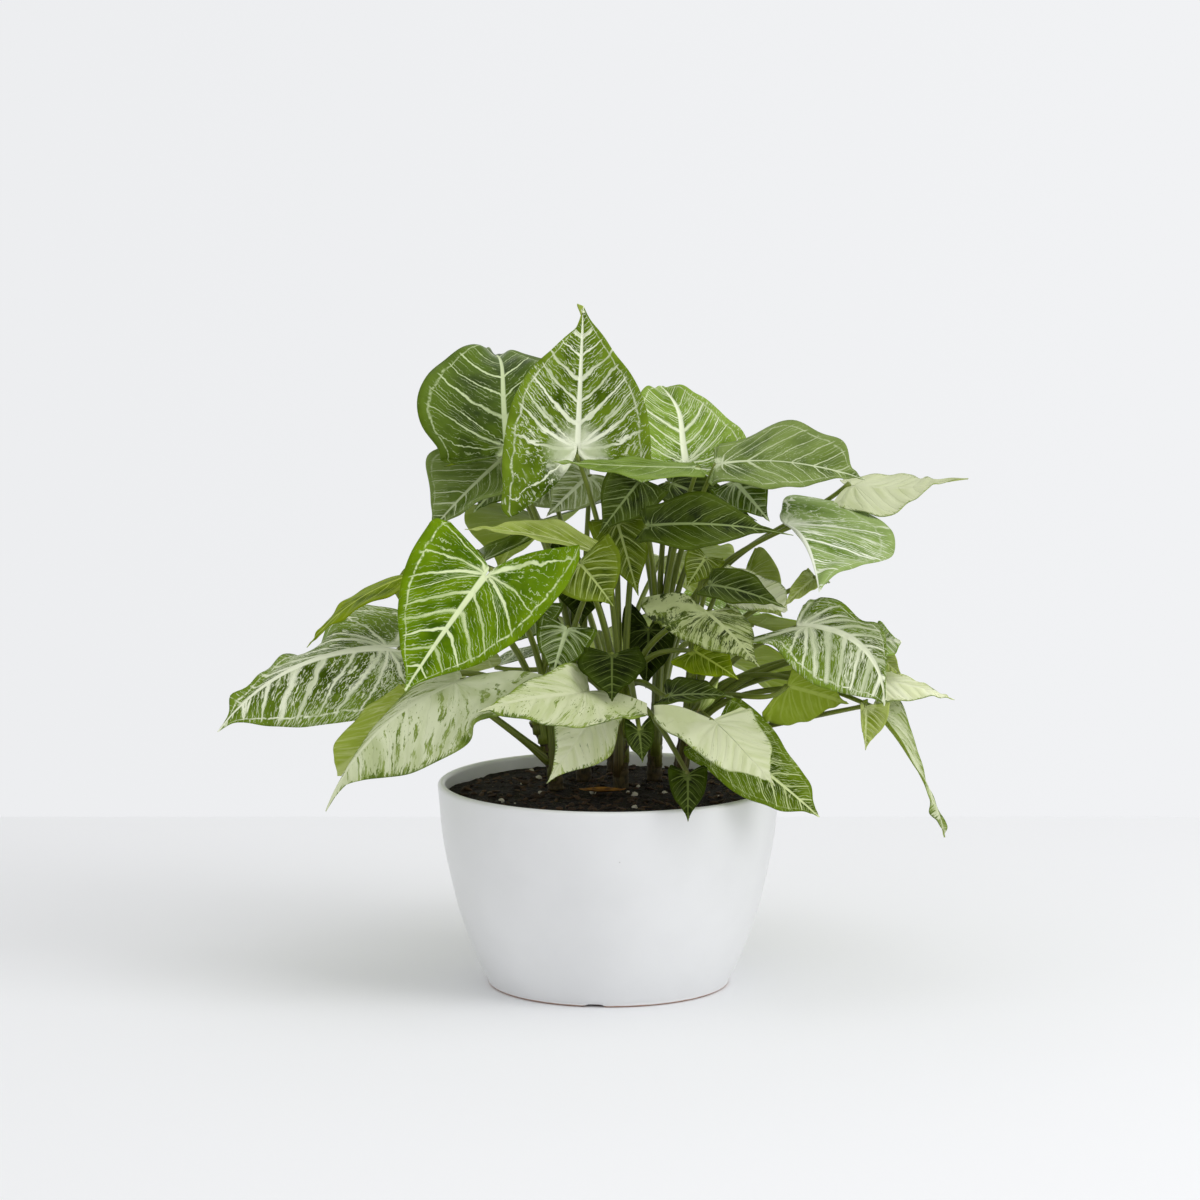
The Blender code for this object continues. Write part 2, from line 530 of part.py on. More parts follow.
def tube(name, points, radii):
    """Round tube with closed ends through the points."""
    data = bpy.data.curves.new(name, "CURVE")
    data.dimensions = "3D"
    data.bevel_depth = MM
    data.bevel_resolution = STALK_SIDES
    data.use_fill_caps = True
    line = data.splines.new("POLY")
    line.points.add(len(points) - 1)
    for spot, place, radius in zip(line.points, points, radii):
        spot.co = (*(place * MM), 1.0)
        spot.radius = radius
    holder = bpy.data.objects.new(name, data)
    bpy.context.scene.collection.objects.link(holder)
    mesh = mesh_of(holder)
    bpy.data.objects.remove(holder, do_unlink=True)
    shape = bmesh.new()
    shape.from_mesh(mesh)
    bmesh.ops.remove_doubles(shape, verts=shape.verts, dist=0.01 * MM)
    bmesh.ops.recalc_face_normals(shape, faces=shape.faces)
    shape.to_mesh(mesh)
    shape.free()
    smooth(mesh)
    return mesh


def stem_point(stem, share):
    """Point on the axis of a stem, share 0 at the soil and 1 at its top."""
    (foot_x, foot_y), (lean_x, lean_y), height = STEMS[stem]
    return Vector((foot_x + lean_x * share ** 2, foot_y + lean_y * share ** 2,
                   SOIL_TOP + ROOT_GAP + height * share))


def stalk_path(leaf, share):
    """Stalk from its place on the stem, share 0 to 1 up it, to just under the blade."""
    axes = leaf_axes(leaf)
    upper = axes.col[2]
    foot = stem_point(leaf.stem, share)
    away = leaf.joint - foot
    foot += Vector((away.x, away.y, 0.0)).normalized() * FOOT_OFFSET
    reach = (leaf.joint - foot).length
    rise = foot + Vector((0, 0, STALK_RISE * reach)) + leaf.bow
    rise += STALK_LEAN * (leaf.joint - foot)
    arrive = (leaf.joint - rise).normalized()
    flatness = max(0.0, STALK_FLATTEST - arrive.dot(upper))
    arrive = (arrive + flatness * upper * STALK_TURN).normalized()
    slant = (1.0 - min(arrive.dot(upper), 1.0) ** 2) ** 0.5
    droop = max(0.0, -min(leaf.fold))
    stand_off = (BLADE_THICKNESS / 2 + GAP + STALK_TOP_RADIUS * 0.9 * slant
                 + STALK_TOP_RADIUS * tan(radians(droop)) + leaf.lift)
    end = leaf.joint - upper * stand_off
    ease_in = end - arrive * STALK_END * reach
    return [bezier(foot, rise, ease_in, end, i / (STALK_POINTS - 1))
            for i in range(STALK_POINTS)]


def build_stem(stem, group, cutters, finish):
    """One stem and all the stalks that grow from it, joined into one body."""
    shares = [i / (STEM_POINTS - 1) for i in range(STEM_POINTS)]
    body_points = [stem_point(stem, share) for share in shares]
    body_radii = [STEM_RADIUS * (1.0 - STEM_TAPER * share) for share in shares]
    body = add_object(stem, tube(stem, body_points, body_radii), group, finish)
    carried = [leaf for leaf in LEAVES if leaf.stem == stem]
    for number, leaf in enumerate(carried):
        points = stalk_path(leaf, LOWEST_STALK + STALK_SPAN * number / (len(carried) - 1))
        last = STALK_POINTS - 1
        radii = [STALK_BASE_RADIUS + (STALK_TOP_RADIUS - STALK_BASE_RADIUS) * i / last
                 for i in range(STALK_POINTS)]
        stalk = bpy.data.objects.new("stalk_" + leaf.name, tube(leaf.name, points, radii))
        stalk.hide_render = True
        stalk.display_type = "WIRE"
        cutters.objects.link(stalk)
        join = body.modifiers.new(leaf.name, "BOOLEAN")
        join.operation = "UNION"
        join.solver = "EXACT"
        join.object = stalk
    return body


# ---------------------------------------------------------------- build

clear_scene()
parts = collection(PARTS_COLLECTION)
tools = collection("cutters")
build_pot(parts, tools)
build_soil(parts)
stem_finish = material("stem_green", (0.10, 0.15, 0.03), 0.5)
for stem_name in STEMS:
    build_stem(stem_name, parts, tools, stem_finish)
finishes = {name: material("leaf_" + name, colour, 0.4) for name, colour in TINTS.items()}
for one in LEAVES:
    build_leaf(one, parts, finishes[one.tint])
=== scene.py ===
"""Looks of a potted syngonium: veined and marbled blades, stalks, soil with chips, white bowl.

Every length written in the tables is in millimetres and every angle in degrees; meshes are in
metres, in the frame of the solids: origin under the middle of the bowl, +Z up, -Y to the viewer.
"""

import json
import logging
from dataclasses import dataclass
from enum import Enum
from typing import Any, ClassVar, Dict, List, Optional, Sequence, Tuple

import bpy
import numpy as np
from mathutils import Vector
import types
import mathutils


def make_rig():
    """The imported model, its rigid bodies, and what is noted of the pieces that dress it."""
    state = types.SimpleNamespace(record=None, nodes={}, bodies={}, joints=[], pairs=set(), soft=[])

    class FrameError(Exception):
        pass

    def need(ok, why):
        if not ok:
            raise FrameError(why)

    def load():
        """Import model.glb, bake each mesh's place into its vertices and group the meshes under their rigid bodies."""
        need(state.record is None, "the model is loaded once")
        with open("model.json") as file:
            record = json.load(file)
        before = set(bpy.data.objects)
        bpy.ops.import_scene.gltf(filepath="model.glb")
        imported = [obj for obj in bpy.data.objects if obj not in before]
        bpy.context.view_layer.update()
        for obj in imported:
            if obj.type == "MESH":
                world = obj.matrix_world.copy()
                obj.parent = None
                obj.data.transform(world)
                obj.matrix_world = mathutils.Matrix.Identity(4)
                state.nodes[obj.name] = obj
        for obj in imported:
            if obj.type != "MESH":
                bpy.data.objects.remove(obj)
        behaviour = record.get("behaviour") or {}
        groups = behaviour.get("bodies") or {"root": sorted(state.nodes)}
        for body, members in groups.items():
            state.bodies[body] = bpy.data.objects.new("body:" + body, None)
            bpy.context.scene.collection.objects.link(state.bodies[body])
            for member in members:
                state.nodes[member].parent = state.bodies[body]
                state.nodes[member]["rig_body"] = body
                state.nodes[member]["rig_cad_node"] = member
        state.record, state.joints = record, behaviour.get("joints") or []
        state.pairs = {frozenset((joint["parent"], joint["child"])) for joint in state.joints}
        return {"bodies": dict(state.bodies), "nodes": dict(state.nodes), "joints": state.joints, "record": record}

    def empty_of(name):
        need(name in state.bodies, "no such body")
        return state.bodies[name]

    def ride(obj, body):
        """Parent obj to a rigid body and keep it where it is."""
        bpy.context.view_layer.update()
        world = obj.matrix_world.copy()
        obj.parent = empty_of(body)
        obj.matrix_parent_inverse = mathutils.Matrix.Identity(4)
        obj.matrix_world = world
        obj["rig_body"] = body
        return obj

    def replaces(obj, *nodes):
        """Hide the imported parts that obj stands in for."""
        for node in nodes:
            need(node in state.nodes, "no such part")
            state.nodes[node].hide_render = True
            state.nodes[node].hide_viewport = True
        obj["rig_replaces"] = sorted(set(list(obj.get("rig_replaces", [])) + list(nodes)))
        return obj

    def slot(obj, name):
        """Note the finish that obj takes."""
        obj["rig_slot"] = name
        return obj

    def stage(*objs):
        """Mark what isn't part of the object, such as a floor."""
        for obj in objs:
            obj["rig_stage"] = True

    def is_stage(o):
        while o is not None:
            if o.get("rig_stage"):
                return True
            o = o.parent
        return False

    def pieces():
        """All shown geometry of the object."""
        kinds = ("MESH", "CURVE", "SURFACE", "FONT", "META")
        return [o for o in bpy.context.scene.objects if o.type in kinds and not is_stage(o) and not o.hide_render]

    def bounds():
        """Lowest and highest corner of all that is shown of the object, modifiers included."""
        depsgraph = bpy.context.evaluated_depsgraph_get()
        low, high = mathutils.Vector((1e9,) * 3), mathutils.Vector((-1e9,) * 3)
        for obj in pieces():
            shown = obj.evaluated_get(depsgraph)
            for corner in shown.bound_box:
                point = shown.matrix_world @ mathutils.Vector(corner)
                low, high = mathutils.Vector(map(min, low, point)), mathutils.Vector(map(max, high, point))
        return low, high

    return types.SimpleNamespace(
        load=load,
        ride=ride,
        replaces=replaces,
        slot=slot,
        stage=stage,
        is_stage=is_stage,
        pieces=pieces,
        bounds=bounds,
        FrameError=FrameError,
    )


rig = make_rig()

MM = 0.001
ROOT = "root"
Pair = Tuple[float, float]
Triple = Tuple[float, float, float]
log = logging.getLogger("syngonium")


# ---------------------------------------------------------------- numbers and meshes

def linear(red: int, green: int, blue: int) -> Triple:
    """Screen colour from 0 to 255 as the linear colour a shader takes."""
    share = np.array((red, green, blue)) / 255.0
    value = np.where(share <= 0.04045, share / 12.92, ((share + 0.055) / 1.055) ** 2.4)
    return tuple(float(v) for v in value)


def ease(value: np.ndarray) -> np.ndarray:
    """Smooth step from 0 to 1: three squares less two cubes of the clipped value."""
    held = np.clip(value, 0.0, 1.0)
    return held * held * (3.0 - 2.0 * held)


def curve_through(points: Sequence[Sequence[float]], share: np.ndarray) -> np.ndarray:
    """Catmull-Rom curve through evenly spaced points.

    Args:
        points: the points the curve passes, in order.
        share: places along the curve, 0 at the first point and 1 at the last.

    Returns:
        One row for each place.
    """
    known = np.array(points, float)
    held = np.vstack((2 * known[0] - known[1], known, 2 * known[-1] - known[-2]))
    place = np.asarray(share) * (len(known) - 1)
    left = np.minimum(place.astype(int), len(known) - 2)
    f = (place - left)[:, None]
    a, b, c, d = (held[left + i] for i in range(4))
    return 0.5 * (2 * b + (c - a) * f + (2 * a - 5 * b + 4 * c - d) * f ** 2
                  + (3 * b - a - 3 * c + d) * f ** 3)


def bumps(places: np.ndarray, size: float, seed: int) -> np.ndarray:
    """Smooth random field: random values on a cubic lattice, eased between its corners.

    Args:
        places: points as rows of three, in millimetres.
        size: lattice pitch in millimetres.
        seed: picks the field.

    Returns:
        One value from -1 to 1 for each point.
    """
    table = np.random.default_rng(seed).uniform(-1.0, 1.0, (32, 32, 32))
    scaled = places / size + 7.3
    low = np.floor(scaled).astype(int)
    part = ease(scaled - low)
    total = np.zeros(len(places))
    for corner in np.ndindex(2, 2, 2):
        near = np.array(corner)
        weight = np.prod(np.where(near, part, 1.0 - part), axis=1)
        cell = (low + near) % 32
        total += weight * table[cell[:, 0], cell[:, 1], cell[:, 2]]
    return total


def grid_faces(rows: int, columns: int, wrap: bool = False) -> np.ndarray:
    """Quads of a grid of points stored row by row; wrap joins the last column to the first."""
    index = np.arange(rows * columns).reshape(rows, columns)
    beside = np.roll(index, -1, axis=1) if wrap else index[:, 1:]
    here = index if wrap else index[:, :-1]
    return np.stack((here[:-1], beside[:-1], beside[1:], here[1:]), axis=-1).reshape(-1, 4)


def circle(count: int) -> np.ndarray:
    """Even angles once round."""
    return np.arange(count) * 2 * np.pi / count


def turned(first: np.ndarray, second: np.ndarray, angle: np.ndarray) -> Tuple[np.ndarray, ...]:
    """Two coordinates turned by an angle in their own plane."""
    c, s = np.cos(angle), np.sin(angle)
    return first * c - second * s, first * s + second * c


def end_caps(rings: int, sides: int) -> List[List[int]]:
    """The first and the last ring of a tube as faces that look out along it."""
    last = (rings - 1) * sides
    return [list(range(sides))[::-1], list(range(last, last + sides))]


def make_mesh(name: str, points: np.ndarray, faces: np.ndarray,
              marks: Optional[Dict[str, np.ndarray]] = None,
              extra: Sequence[Sequence[int]] = ()) -> bpy.types.Object:
    """A smooth-shaded object at the origin.

    Args:
        name: the piece's name.
        points: rows of three, in millimetres.
        faces: rows of four point numbers, counter-clockwise from outside.
        marks: vector attributes of the points, for the finishes to read.
        extra: further faces of any length, such as end caps.

    Returns:
        The object, linked to the scene.
    """
    mesh = bpy.data.meshes.new(name)
    mesh.from_pydata((points * MM).tolist(), [], faces.tolist() + [list(f) for f in extra])
    for mark, values in (marks or {}).items():
        layer = mesh.attributes.new(mark, "FLOAT_VECTOR", "POINT")
        layer.data.foreach_set("vector", np.ascontiguousarray(values, np.float32).ravel())
    mesh.polygons.foreach_set("use_smooth", np.ones(len(mesh.polygons), bool))
    mesh.update()
    thing = bpy.data.objects.new(name, mesh)
    bpy.context.scene.collection.objects.link(thing)
    return thing


def finish_piece(thing: bpy.types.Object, materials: Sequence[bpy.types.Material], slot: "Slot",
                 *nodes: str) -> bpy.types.Object:
    """Dress a piece, let it ride on the plant and hide the solids it stands for.

    Args:
        thing: the piece.
        materials: its materials, in the order of its face numbers.
        slot: the record's slot that its finish comes from.
        nodes: the solids it stands for.

    Returns:
        The piece.
    """
    for material in materials:
        thing.data.materials.append(material)
    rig.ride(thing, ROOT)
    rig.slot(thing, slot.value)
    if nodes:
        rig.replaces(thing, *nodes)
    log.info("%s: %d faces", thing.name, len(thing.data.polygons))
    return thing


# ---------------------------------------------------------------- shader graphs

class Value:
    """A number that varies over a surface; arithmetic on it adds Math nodes."""

    def __init__(self, graph: "Graph", socket: bpy.types.NodeSocket) -> None:
        """Wrap a socket of a graph."""
        self.graph = graph
        self.socket = socket

    def _math(self, operation: str, *values: Any, clamp: bool = False) -> "Value":
        """Add one Math node on the given values."""
        node = self.graph.node("ShaderNodeMath", {"operation": operation, "use_clamp": clamp},
                               dict(enumerate(values)))
        return Value(self.graph, node.outputs[0])

    def __add__(self, other: Any) -> "Value":
        """Sum."""
        return self._math("ADD", self, other)

    __radd__ = __add__

    def __sub__(self, other: Any) -> "Value":
        """Difference."""
        return self._math("SUBTRACT", self, other)

    def __rsub__(self, other: Any) -> "Value":
        """Difference, reflected."""
        return self._math("SUBTRACT", other, self)

    def __mul__(self, other: Any) -> "Value":
        """Product."""
        return self._math("MULTIPLY", self, other)

    __rmul__ = __mul__

    def __abs__(self) -> "Value":
        """Size without sign."""
        return self._math("ABSOLUTE", self)

    def __round__(self) -> "Value":
        """Nearest whole number."""
        return self._math("ROUND", self)

    def __pow__(self, other: Any) -> "Value":
        """Power."""
        return self._math("POWER", self, other)

    def larger(self, other: Any) -> "Value":
        """The larger of two values."""
        return self._math("MAXIMUM", self, other)

    def clipped(self) -> "Value":
        """The value held between 0 and 1."""
        return self._math("ADD", self, 0.0, clamp=True)

    def rise(self, start: Any, end: Any) -> "Value":
        """0 below start, 1 above end and a smooth step between them."""
        node = self.graph.node("ShaderNodeMapRange", {"interpolation_type": "SMOOTHSTEP"},
                               {"Value": self, "From Min": start, "From Max": end})
        return Value(self.graph, node.outputs[0])

    def fall(self, start: Any, end: Any) -> "Value":
        """1 below start, 0 above end and a smooth step between them."""
        return 1.0 - self.rise(start, end)


class Graph:
    """The node graph of one material, with its Principled shader."""

    def __init__(self, name: str) -> None:
        """Make the material and keep its shader."""
        self.material = bpy.data.materials.new(name)
        self.material.use_nodes = True
        self.tree = self.material.node_tree
        self.shader = self.tree.nodes["Principled BSDF"]

    def node(self, kind: str, settings: Optional[Dict[str, Any]] = None,
             sockets: Optional[Dict[Any, Any]] = None) -> bpy.types.Node:
        """Add a node.

        Args:
            kind: the node's type.
            settings: its own settings, set before its sockets.
            sockets: values or links by socket name or number.

        Returns:
            The new node.
        """
        made = self.tree.nodes.new(kind)
        for key, value in (settings or {}).items():
            setattr(made, key, value)
        for key, value in (sockets or {}).items():
            self.feed(made.inputs[key], value)
        return made

    def feed(self, socket: bpy.types.NodeSocket, value: Any) -> None:
        """Link a value to a socket, or set a constant on it."""
        if isinstance(value, Value):
            value = value.socket
        if isinstance(value, bpy.types.NodeSocket):
            self.tree.links.new(value, socket)
        elif isinstance(value, tuple) and socket.type == "RGBA":
            socket.default_value = (*value, 1.0)
        else:
            socket.default_value = value

    def mark(self, name: str) -> Tuple["Value", "Value", "Value"]:
        """The three numbers of a point attribute."""
        node = self.node("ShaderNodeAttribute", {"attribute_name": name})
        split = self.node("ShaderNodeSeparateXYZ", None, {0: node.outputs["Vector"]})
        return tuple(Value(self, split.outputs[i]) for i in range(3))

    def place(self) -> Tuple["Value", "Value", "Value"]:
        """Object coordinates in metres."""
        node = self.node("ShaderNodeTexCoord")
        split = self.node("ShaderNodeSeparateXYZ", None, {0: node.outputs["Object"]})
        return tuple(Value(self, split.outputs[i]) for i in range(3))

    def vector(self, x: Any, y: Any, z: Any = 0.0) -> bpy.types.NodeSocket:
        """Three numbers as a vector."""
        return self.node("ShaderNodeCombineXYZ", None, {0: x, 1: y, 2: z}).outputs[0]

    def noise(self, where: Any, scale: float, detail: float = 2.0,
              roughness: float = 0.5) -> "Value":
        """Cloudy noise from 0 to 1."""
        node = self.node("ShaderNodeTexNoise", None, {
            "Vector": where, "Scale": scale, "Detail": detail, "Roughness": roughness})
        return Value(self, node.outputs[0])

    def cells(self, where: Any, scale: float, feature: str = "DISTANCE_TO_EDGE") -> "Value":
        """Voronoi distance of the given feature."""
        node = self.node("ShaderNodeTexVoronoi", {"feature": feature},
                         {"Vector": where, "Scale": scale})
        return Value(self, node.outputs["Distance"])

    def scatter(self, number: Any) -> "Value":
        """A random number from 0 to 1 for each whole number."""
        node = self.node("ShaderNodeTexWhiteNoise", {"noise_dimensions": "1D"}, {"W": number})
        return Value(self, node.outputs["Value"])

    def mix(self, factor: Any, first: Any, second: Any) -> bpy.types.NodeSocket:
        """Blend of two colours."""
        node = self.node("ShaderNodeMix", {"data_type": "RGBA"},
                         {0: factor, 6: first, 7: second})
        return node.outputs[2]

    def bump(self, height: Any, depth: float, strength: float = 1.0) -> None:
        """Relief of the given depth in metres on the shader's normal."""
        node = self.node("ShaderNodeBump", None,
                         {"Height": height, "Distance": depth, "Strength": strength})
        self.feed(self.shader.inputs["Normal"], node.outputs[0])

    def dress(self, **values: Any) -> bpy.types.Material:
        """Feed the shader's sockets, spaces written as underscores."""
        for key, value in values.items():
            self.feed(self.shader.inputs[key.replace("_", " ")], value)
        return self.material


# ---------------------------------------------------------------- finishes

class Slot(Enum):
    """The material slots of the record."""

    POT = "pot_glaze"
    SOIL = "soil_crumb"
    STEM = "stem_green"
    BRIGHT = "leaf_bright"
    DARK = "leaf_dark"
    CREAM = "leaf_cream"


@dataclass(frozen=True)
class UnderFinish:
    """Underside of a blade: matt, yellower, with raised veins and a hint of the marbling; the yellow is partly its own
    colour and partly painted light, standing for light shining through the thin blade.
    """

    name: str
    leaf: Triple                  # ground, as a screen colour
    pale: Triple                  # veins and marbling, as a screen colour
    marble: float = 0.3

    def build(self) -> bpy.types.Material:
        """Graph of the underside.

        Returns:
            The material.
        """
        g = Graph(self.name)
        w, gap, out = g.mark("vein")
        reach, side, _ = g.mark("reach")
        flat = g.node("ShaderNodeAttribute", {"attribute_name": "flat"}).outputs["Vector"]
        sway = g.noise(flat, 0.10, 2.0) - 0.5
        lane = w + sway * 0.42
        distance = abs(lane - round(lane)) * gap
        veins = distance.fall(0.2, 0.9) * out.fall(0.7, 0.95)
        rib = side.fall(0.9, 1.9)
        mottle = g.noise(g.vector(lane * 2.0, reach * 0.09, 1.0), 1.0, 4.0, 0.6)
        amount = (mottle.rise(0.45, 0.7) * self.marble).larger(veins * 0.35).larger(rib * 0.6)
        colour = g.mix(amount, linear(*self.leaf), linear(*self.pale))
        g.bump(veins * 0.7 + rib + g.noise(flat, 1.2, 2.0) * 0.2, 0.0004, 0.6)
        return g.dress(Base_Color=colour, Roughness=0.6, Specular_IOR_Level=0.1)


# Yellow undersides: partly their own colour and partly painted light through the blade.
UNDER_LIME = UnderFinish("under_lime", (128, 148, 32), (172, 188, 92))
UNDER_PALE = UnderFinish("under_pale", (146, 164, 58), (200, 210, 140), 0.6)
UNDER_OLIVE = UnderFinish("under_olive", (92, 108, 6), (138, 152, 62), 0.3)


@dataclass(frozen=True)
class LeafFinish:
    """Upper side of a blade: green ground, pale veins, marbling, flecks and a washed joint."""

    name: str
    slot: Slot
    green: Triple                 # deepest green of the ground, as a screen colour
    leaf: Triple                  # usual green of the ground
    sun: Triple                   # yellower green towards the margin and in soft streaks; in veined_sheen it is painted sheen
    cream: Triple                 # veins and marbling
    vein: float = 1.4             # half width of a side vein near the midrib, mm
    rib: float = 0.9              # half width of the midrib at the joint, mm
    lines: float = 0.5            # how clearly fine lines run between the side veins
    dash: float = 0.3             # share of the ground that carries short pale dashes
    marble: float = 0.0           # share of the ground that is cream
    wash: float = 2.0             # reach of the pale patch round the joint, mm
    fleck: float = 0.0            # dark flecks on the cream
    edge: float = 0.0             # dark flecks along the margin
    rim: float = 0.2              # how clearly the vein along the margin shows
    gloss: float = 0.44           # roughness
    sheen: float = 0.04           # strength of the reflection
    under: UnderFinish = UNDER_LIME

    def build(self) -> bpy.types.Material:
        """Graph of the upper side.

        Returns:
            The material.
        """
        g = Graph(self.name)
        green, leaf, sun, cream = (linear(*c) for c in (self.green, self.leaf, self.sun, self.cream))
        w, gap, out = g.mark("vein")
        reach, side, along = g.mark("reach")
        flat = g.node("ShaderNodeAttribute", {"attribute_name": "flat"}).outputs["Vector"]
        _, flat_y, seed = g.mark("flat")
        sway = g.noise(flat, 0.10, 2.0) - 0.5
        drift = g.noise(flat, 0.5, 1.0) - 0.5
        lane = w + sway * 0.42 + drift * 0.07
        number = round(lane)
        away = abs(lane - number)
        lot = g.scatter(number + seed * 7.0)
        half = (0.35 + lot ** 1.6 * 1.2) * (1.15 - out * 0.75) * self.vein
        veins = (away * gap).fall(half * 0.5, half * 1.1 + 0.1) * out.fall(0.86, 0.93)
        middle = (1.0 - along.clipped()) ** 0.8 * self.rib + 0.3
        rib = side.fall(middle * 0.65, middle + 0.2) * along.rise(-0.06, 0.0)
        rim = abs(out - 0.86 - sway * 0.12) * 42.0
        collect = rim.fall(0.1, 0.9) * drift.rise(-0.25, 0.1) * self.rim
        thin = lane * 5.0 + drift * 0.6
        thin_number = round(thin)
        thin_gate = g.noise(g.vector(thin_number * 3.7, reach * 0.10, seed), 1.0, 2.0)
        lines = (abs(thin - thin_number) * gap * 0.2).fall(0.06, 0.28)
        lines = lines * thin_gate.rise(0.44, 0.58) * out.fall(0.8, 0.95) * self.lines
        speckle = g.noise(g.vector(lane * 12.5, reach * 0.36, seed + 5.0), 1.0, 2.0, 0.6)
        patch = g.noise(flat, 0.045, 2.0)
        dash_start = 0.72 - self.dash * (0.22 + (patch - 0.5) * 0.6)
        dashes = speckle.rise(dash_start, dash_start + 0.09) * (0.65 if self.dash > 0.0 else 0.0)
        radial = (side * side + flat_y * flat_y) ** 0.5
        wash = (radial + sway * 14.0 + drift * 7.0).fall(self.wash * 0.3, self.wash * 1.2 + 1.5)
        streak = g.noise(g.vector(lane * 3.8, reach * 0.07, seed), 1.0, 4.0, 0.62)
        level = streak + (0.5 - away) * 0.22 - (out ** 4.0) * 0.08 + (speckle - 0.5) * 0.16
        start = 0.76 - 0.42 * self.marble
        marble = level.rise(start, start + 0.07) * (1.0 if self.marble > 0.0 else 0.0)
        marble = marble * (1.0 if self.marble > 0.6 else along.rise(-0.22, 0.04))
        pale = veins.larger(rib).larger(collect).larger(lines).larger(dashes)
        pale = pale.larger(wash).larger(marble)
        specks = g.noise(g.vector(lane * 8.5, reach * 0.30, seed + 3.0), 1.0, 3.0, 0.65)
        amount = out.rise(0.70, 1.0) * 0.24 * self.edge + patch.rise(0.42, 0.62) * (
            0.17 * self.fleck)
        dark = specks.rise(0.74 - amount, 0.79 - amount) * rib.fall(0.0, 0.6)
        dark = dark.larger(out.rise(0.965, 0.99) * 0.8 * self.edge)
        dark = dark * (0.92 if self.fleck + self.edge > 0.0 else 0.0)
        cloud = g.noise(flat, 0.055, 3.0)
        ground = g.mix(cloud.rise(0.35, 0.65), green, leaf)
        warm = out.rise(0.35, 1.0) * 0.55 + sway.rise(-0.1, 0.25) * 0.4
        ground = g.mix(warm.clipped(), ground, sun)
        soft = g.noise(g.vector(lane * 1.1, reach * 0.03, seed + 8.0), 1.0, 3.0)
        ground = g.mix(soft.rise(0.45, 0.68) * 0.55, ground, sun)
        shade = g.mix(soft.rise(0.38, 0.7) * 0.5, cream, sun)
        light = g.mix((pale - rib).clipped(), cream, shade)
        colour = g.mix(pale, ground, light)
        colour = g.mix(dark, colour, g.mix(cloud.rise(0.4, 0.6), green, leaf))
        relief = g.noise(flat, 0.9, 2.0) * 0.2 - veins * 0.8 - rib * 0.6 + away * 0.7
        g.bump(relief, 0.00045, 0.5)
        rough = g.noise(flat, 0.3, 2.0) * 0.12 + self.gloss - 0.06
        return g.dress(Base_Color=colour, Roughness=rough, Specular_IOR_Level=self.sheen)


VEINED_BRIGHT = LeafFinish(
    "veined_bright", Slot.BRIGHT, (58, 88, 0), (80, 114, 2), (116, 148, 10), (226, 238, 188),
    vein=1.3, rib=2.4, lines=0.6, dash=0.42, wash=3.0, rim=0.9)
VEINED_WASHED = LeafFinish(
    "veined_washed", Slot.BRIGHT, (52, 74, 0), (92, 118, 16), (120, 146, 38), (242, 247, 220),
    vein=1.2, rib=2.2, lines=0.8, dash=0.6, marble=0.34, wash=19.0, rim=0.8)
VEINED_DARK = LeafFinish(
    "veined_dark", Slot.DARK, (44, 62, 0), (74, 98, 8), (92, 116, 18), (206, 220, 170), vein=0.7,
    rib=1.8, wash=4.0, rim=0.7, gloss=0.38, sheen=0.12)
# Painted sheen and light: a lighter ground and a pale greyish sun colour streaked along the blade. The higher sheen
# value is real reflection.
VEINED_SHEEN = LeafFinish(
    "veined_sheen", Slot.DARK, (58, 80, 6), (96, 118, 36), (128, 148, 74), (206, 216, 176),
    vein=0.75, rib=1.4, lines=0.45, dash=0.4, wash=5.0, rim=0.6, gloss=0.36, sheen=0.2)
VEINED_LIGHT = LeafFinish(
    "veined_light", Slot.BRIGHT, (90, 118, 22), (124, 154, 52), (150, 178, 78), (240, 246, 216),
    vein=1.0, rib=2.6, lines=0.8, dash=0.6, wash=6.0, rim=0.7)
VEINED_GREY = LeafFinish(
    "veined_grey", Slot.DARK, (84, 102, 36), (126, 142, 80), (154, 168, 110), (214, 222, 190),
    vein=0.8, rib=1.6, lines=0.7, dash=0.5, marble=0.3, wash=5.0, rim=0.6, under=UNDER_OLIVE)
RADIATING = LeafFinish(
    "radiating", Slot.CREAM, (92, 120, 38), (134, 158, 86), (154, 176, 106), (238, 243, 222),
    vein=1.2, rib=2.6, lines=0.9, dash=0.6, marble=0.36, wash=16.0, rim=0.3)
SAGE = LeafFinish(
    "sage", Slot.BRIGHT, (84, 108, 28), (112, 136, 54), (128, 152, 66), (190, 204, 154), vein=0.3,
    lines=0.3, dash=0.2, rim=0.1)
# Dark green, made darker still as painted shade for blades inside the plant.
DEEP_GREEN_PAINTED_SHADE = LeafFinish(
    "deep", Slot.DARK, (20, 32, 0), (52, 68, 4), (80, 98, 20), (140, 156, 98), vein=0.45,
    lines=0.35, dash=0.25, rim=0.3, sheen=0.1, under=UNDER_OLIVE)
